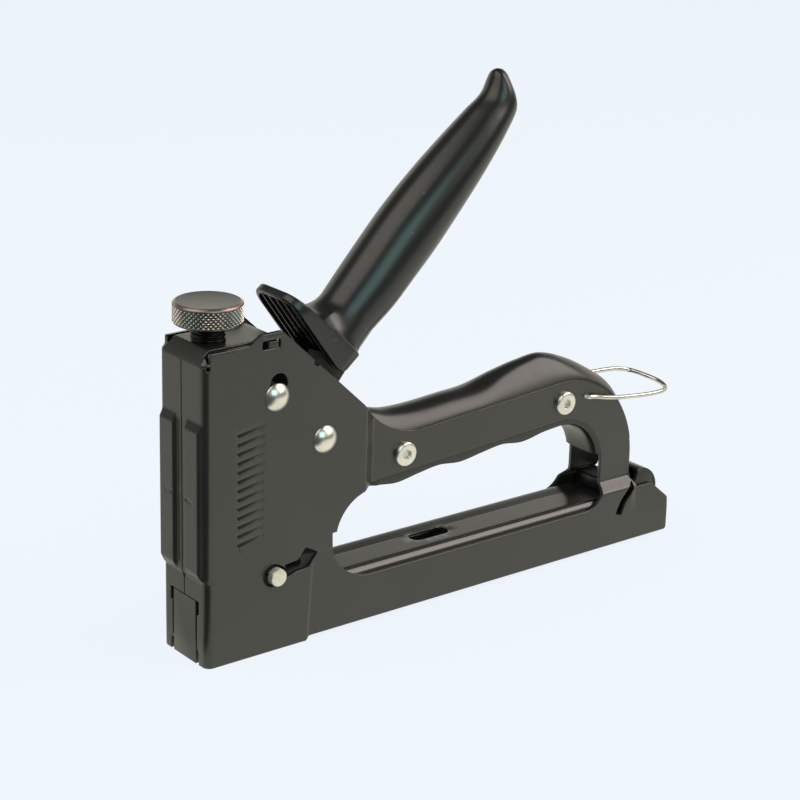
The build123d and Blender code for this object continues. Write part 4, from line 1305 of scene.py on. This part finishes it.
def make_grip_insert():
    """Moulded insert between the grip plates, domed above and waved below."""
    way, height = along_grip(CROWN)
    low_way, low_height = along_grip(WAVES)
    rear, front, step = max(low_way[-1], way[-1]) + 0.01, min(way[0], low_way[0]), 0.9
    stations = np.concatenate((np.arange(rear, 0, step), np.arange(0, front, step)))
    crown = smooth(way[::-1], height[::-1], stations)
    waves = smooth(low_way[::-1], low_height[::-1], stations)
    plate_low = 17.4 + np.clip(stations, 0.0, None) * 0.0158
    over = np.linspace(0.0, math.pi, 37)
    belly_y = np.sign(np.cos(over)) * np.abs(np.cos(over)) ** (2 / 4.5)
    belly_h = np.sin(over) ** (2 / 4.5)
    core = GRIP_HALF - 1.35
    rows = []
    for s, top, low, foot in zip(stations, crown, waves, plate_low):
        half = np.interp(s, (71.4, 72.6), (GRIP_HALF - 0.06, core))
        dome_y, dome_h = dome(half, top - DOME_FOOT)
        y = np.concatenate((dome_y, [-core, -core], -half * belly_y, [core, core]))
        h = np.concatenate((DOME_FOOT + dome_h, [29.9, foot + 0.3],
                            foot + 0.05 - (foot + 0.05 - low) * belly_h, [foot + 0.3, 29.9]))
        turn = max(-s, 0.0) / BEND_R
        rise = GRIP_RISE * math.cos(turn) + GRIP_RUN * math.sin(turn)
        spots = np.array(BEND) - GRIP_RUN * max(s, 0.0) + np.multiply.outer(h, rise)
        rows.append(np.column_stack((spots[:, 0], y, spots[:, 1])))
    ends = [np.repeat(row.mean(axis=0)[None], len(row), axis=0) for row in (rows[0], rows[-1])]
    build = Builder()
    build.rows([ends[0], *rows, ends[1]])
    mesh = build.mesh("waved_insert", 45)
    add_piece("waved_insert", mesh, PLASTIC, "frame", "black_plastic", "grip_insert")


BACKGROUND = colour(0.868, 0.930, 0.990)
CARD = colour(0.94, 0.92, 0.80)
SHADE = colour(0.014, 0.015, 0.014)
DIM = colour(0.085, 0.088, 0.088)


def seen_by(tree, *kinds):
    """1 for rays of these kinds."""
    total = sum((tree.add("ShaderNodeLightPath", out=f"Is {kind} Ray") for kind in kinds[1:]),
                tree.add("ShaderNodeLightPath", out=f"Is {kinds[0]} Ray"))
    return total.maths("MINIMUM", total, 1.0)


def along(tree, place, x, y, z):
    """How far a place lies along a direction."""
    axes = [tree.add("ShaderNodeSeparateXYZ", {}, {"Vector": place}, axis) for axis in "XYZ"]
    return axes[0] * x + axes[1] * y + axes[2] * z


def lay_floor():
    """Plain pale floor that keeps a faint shadow. Glossy faces see a painted reflection on it: a pale card
    with dark patches of painted shade.
    """
    material = bpy.data.materials.new("pale_floor")
    material.use_nodes = True
    material.node_tree.nodes.clear()
    paper = Tree(material.node_tree)
    place = paper.add("ShaderNodeTexCoord", out="Object")
    away = paper.add("ShaderNodeVectorMath", {"operation": "SUBTRACT"}, {0: place, 1: (-0.012, -0.002, 0.0)})
    away = paper.add("ShaderNodeVectorMath", {"operation": "NORMALIZE"}, {0: away})
    # Painted reflection: dark patches seen only by glossy rays, before the nose, at the left and far in
    # front.
    shade = along(paper, away, -0.72, -0.69, 0.0).over(0.52, 0.88)
    left = along(paper, away, -0.62, 0.78, 0.0).over(0.2, 0.8) * 0.25
    far = along(paper, place, 0.25, -0.97, 0.0).over(0.40, 0.75) * 0.85
    shade = shade.maths("MAXIMUM", shade.maths("MAXIMUM", shade, left), far)
    plain = paper.add("ShaderNodeEmission", {}, {"Color": BACKGROUND, "Strength": 1.0})
    card = paper.add("ShaderNodeEmission", {}, {"Color": CARD, "Strength": 1.0})
    dark = paper.add("ShaderNodeEmission", {}, {"Color": SHADE, "Strength": 1.0})
    mirrored = paper.add("ShaderNodeMixShader", {}, {0: shade, 1: card, 2: dark})
    shown = paper.add("ShaderNodeMixShader", {}, {0: seen_by(paper, "Glossy"), 1: plain, 2: mirrored})
    dull = paper.add("ShaderNodeBsdfDiffuse", {}, {"Color": colour(0.80, 0.84, 0.88)})
    share = seen_by(paper, "Camera", "Glossy", "Transmission") * 0.93
    mixed = paper.add("ShaderNodeMixShader", {}, {0: share, 1: dull, 2: shown})
    paper.add("ShaderNodeOutputMaterial", {}, {"Surface": mixed})
    work = bmesh.new()
    bmesh.ops.create_grid(work, x_segments=2, y_segments=2, size=6.0)
    mesh = bpy.data.meshes.new("floor")
    work.to_mesh(mesh)
    work.free()
    mesh.materials.append(material)
    floor = bpy.data.objects.new("floor", mesh)
    bpy.context.scene.collection.objects.link(floor)


def set_world():
    """Even room light. Glossy faces see a painted reflection: a pale card behind the tacker and at its right,
    else a dim room.
    """
    world = bpy.data.worlds.new("studio")
    bpy.context.scene.world = world
    world.use_nodes = True
    world.node_tree.nodes.clear()
    studio = Tree(world.node_tree)
    way = studio.add("ShaderNodeTexCoord", out="Generated")
    height = along(studio, way, 0.0, 0.0, 1.0)
    # Painted reflection of a pale card, seen only by glossy rays, behind the tacker, at its right and to the
    # right front.
    wall = along(studio, way, 0.62, 0.78, 0.0).over(0.25, 0.6) * (1 - height.over(0.36, 0.46))
    front = along(studio, way, 0.75, -0.66, 0.0).over(0.1, 0.6) * height.over(0.12, 0.3)
    front = front * (1 - height.over(0.6, 0.8)) * 0.6
    wall = wall.maths("MAXIMUM", wall, front)
    room = studio.add("ShaderNodeBackground", {}, {"Color": colour(0.93, 0.96, 1.0), "Strength": 0.42})
    plain = studio.add("ShaderNodeBackground", {}, {"Color": BACKGROUND, "Strength": 1.0})
    card = studio.add("ShaderNodeBackground", {}, {"Color": CARD, "Strength": 1.0})
    dark = studio.add("ShaderNodeBackground", {}, {"Color": DIM, "Strength": 1.0})
    mirrored = studio.add("ShaderNodeMixShader", {}, {0: wall, 1: dark, 2: card})
    dim = studio.add("ShaderNodeMixShader", {}, {0: seen_by(studio, "Glossy"), 1: room, 2: mirrored})
    shown = seen_by(studio, "Camera", "Transmission")
    mixed = studio.add("ShaderNodeMixShader", {}, {0: shown, 1: dim, 2: plain})
    studio.add("ShaderNodeOutputWorld", {}, {"Surface": mixed})


def hang_lamp(name, place, target, size, power, tint=(1.0, 1.0, 1.0)):
    lamp = bpy.data.lights.new(name, "AREA")
    lamp.shape = "RECTANGLE"
    lamp.size, lamp.size_y = size
    lamp.energy = power
    lamp.color = tint
    holder = bpy.data.objects.new(name, lamp)
    holder.location = place
    holder.rotation_euler = (Vector(target) - Vector(place)).to_track_quat("-Z", "Y").to_euler()
    bpy.context.scene.collection.objects.link(holder)


def set_camera():
    """Camera at the viewing angle of the photograph."""
    yaw, pitch, roll = (math.radians(a) for a in (38.644, 18.812, 1.655))
    back = Vector((-math.sin(yaw) * math.cos(pitch), -math.cos(yaw) * math.cos(pitch), math.sin(pitch)))
    right = Vector((math.cos(yaw), -math.sin(yaw), 0.0))
    up = back.cross(right)
    side = right * math.cos(roll) + up * math.sin(roll)
    top = up * math.cos(roll) - right * math.sin(roll)
    camera = bpy.data.cameras.new("camera")
    camera.sensor_width = 36.0
    camera.lens = 95.2
    camera.clip_start = 0.01
    camera.clip_end = 50.0
    holder = bpy.data.objects.new("camera", camera)
    turn = Matrix((side, top, back)).transposed().to_4x4()
    holder.matrix_world = Matrix.Translation((-0.293639, -0.458766, 0.262310)) @ turn
    bpy.context.scene.collection.objects.link(holder)
    bpy.context.scene.camera = holder


def set_studio():
    lay_floor()
    set_world()
    middle = (0.07, 0.0, 0.06)
    hang_lamp("key_lamp", (0.69, -0.48, 0.74), middle, (0.72, 0.72), 6.4, (1.0, 0.90, 0.83))
    hang_lamp("side_lamp", (-0.60, 0.06, 0.88), middle, (1.0, 0.95), 5.4, (1.0, 0.93, 0.82))
    hang_lamp("cool_lamp", (-0.20, -0.88, 0.56), middle, (0.52, 0.52), 1.8, (0.50, 1.0, 0.95))
    bpy.context.scene.view_settings.view_transform = "Standard"


set_camera()
set_studio()
dress_carried_over()
make_shells()
make_nose_plate()
make_bridge()
make_rivets()
make_grip_fasteners()
make_lock_pin()
make_knob()
make_springs()
make_bail()
make_channel()
make_latch()
make_tail()
make_bumper()
make_handle()
make_grip_insert()
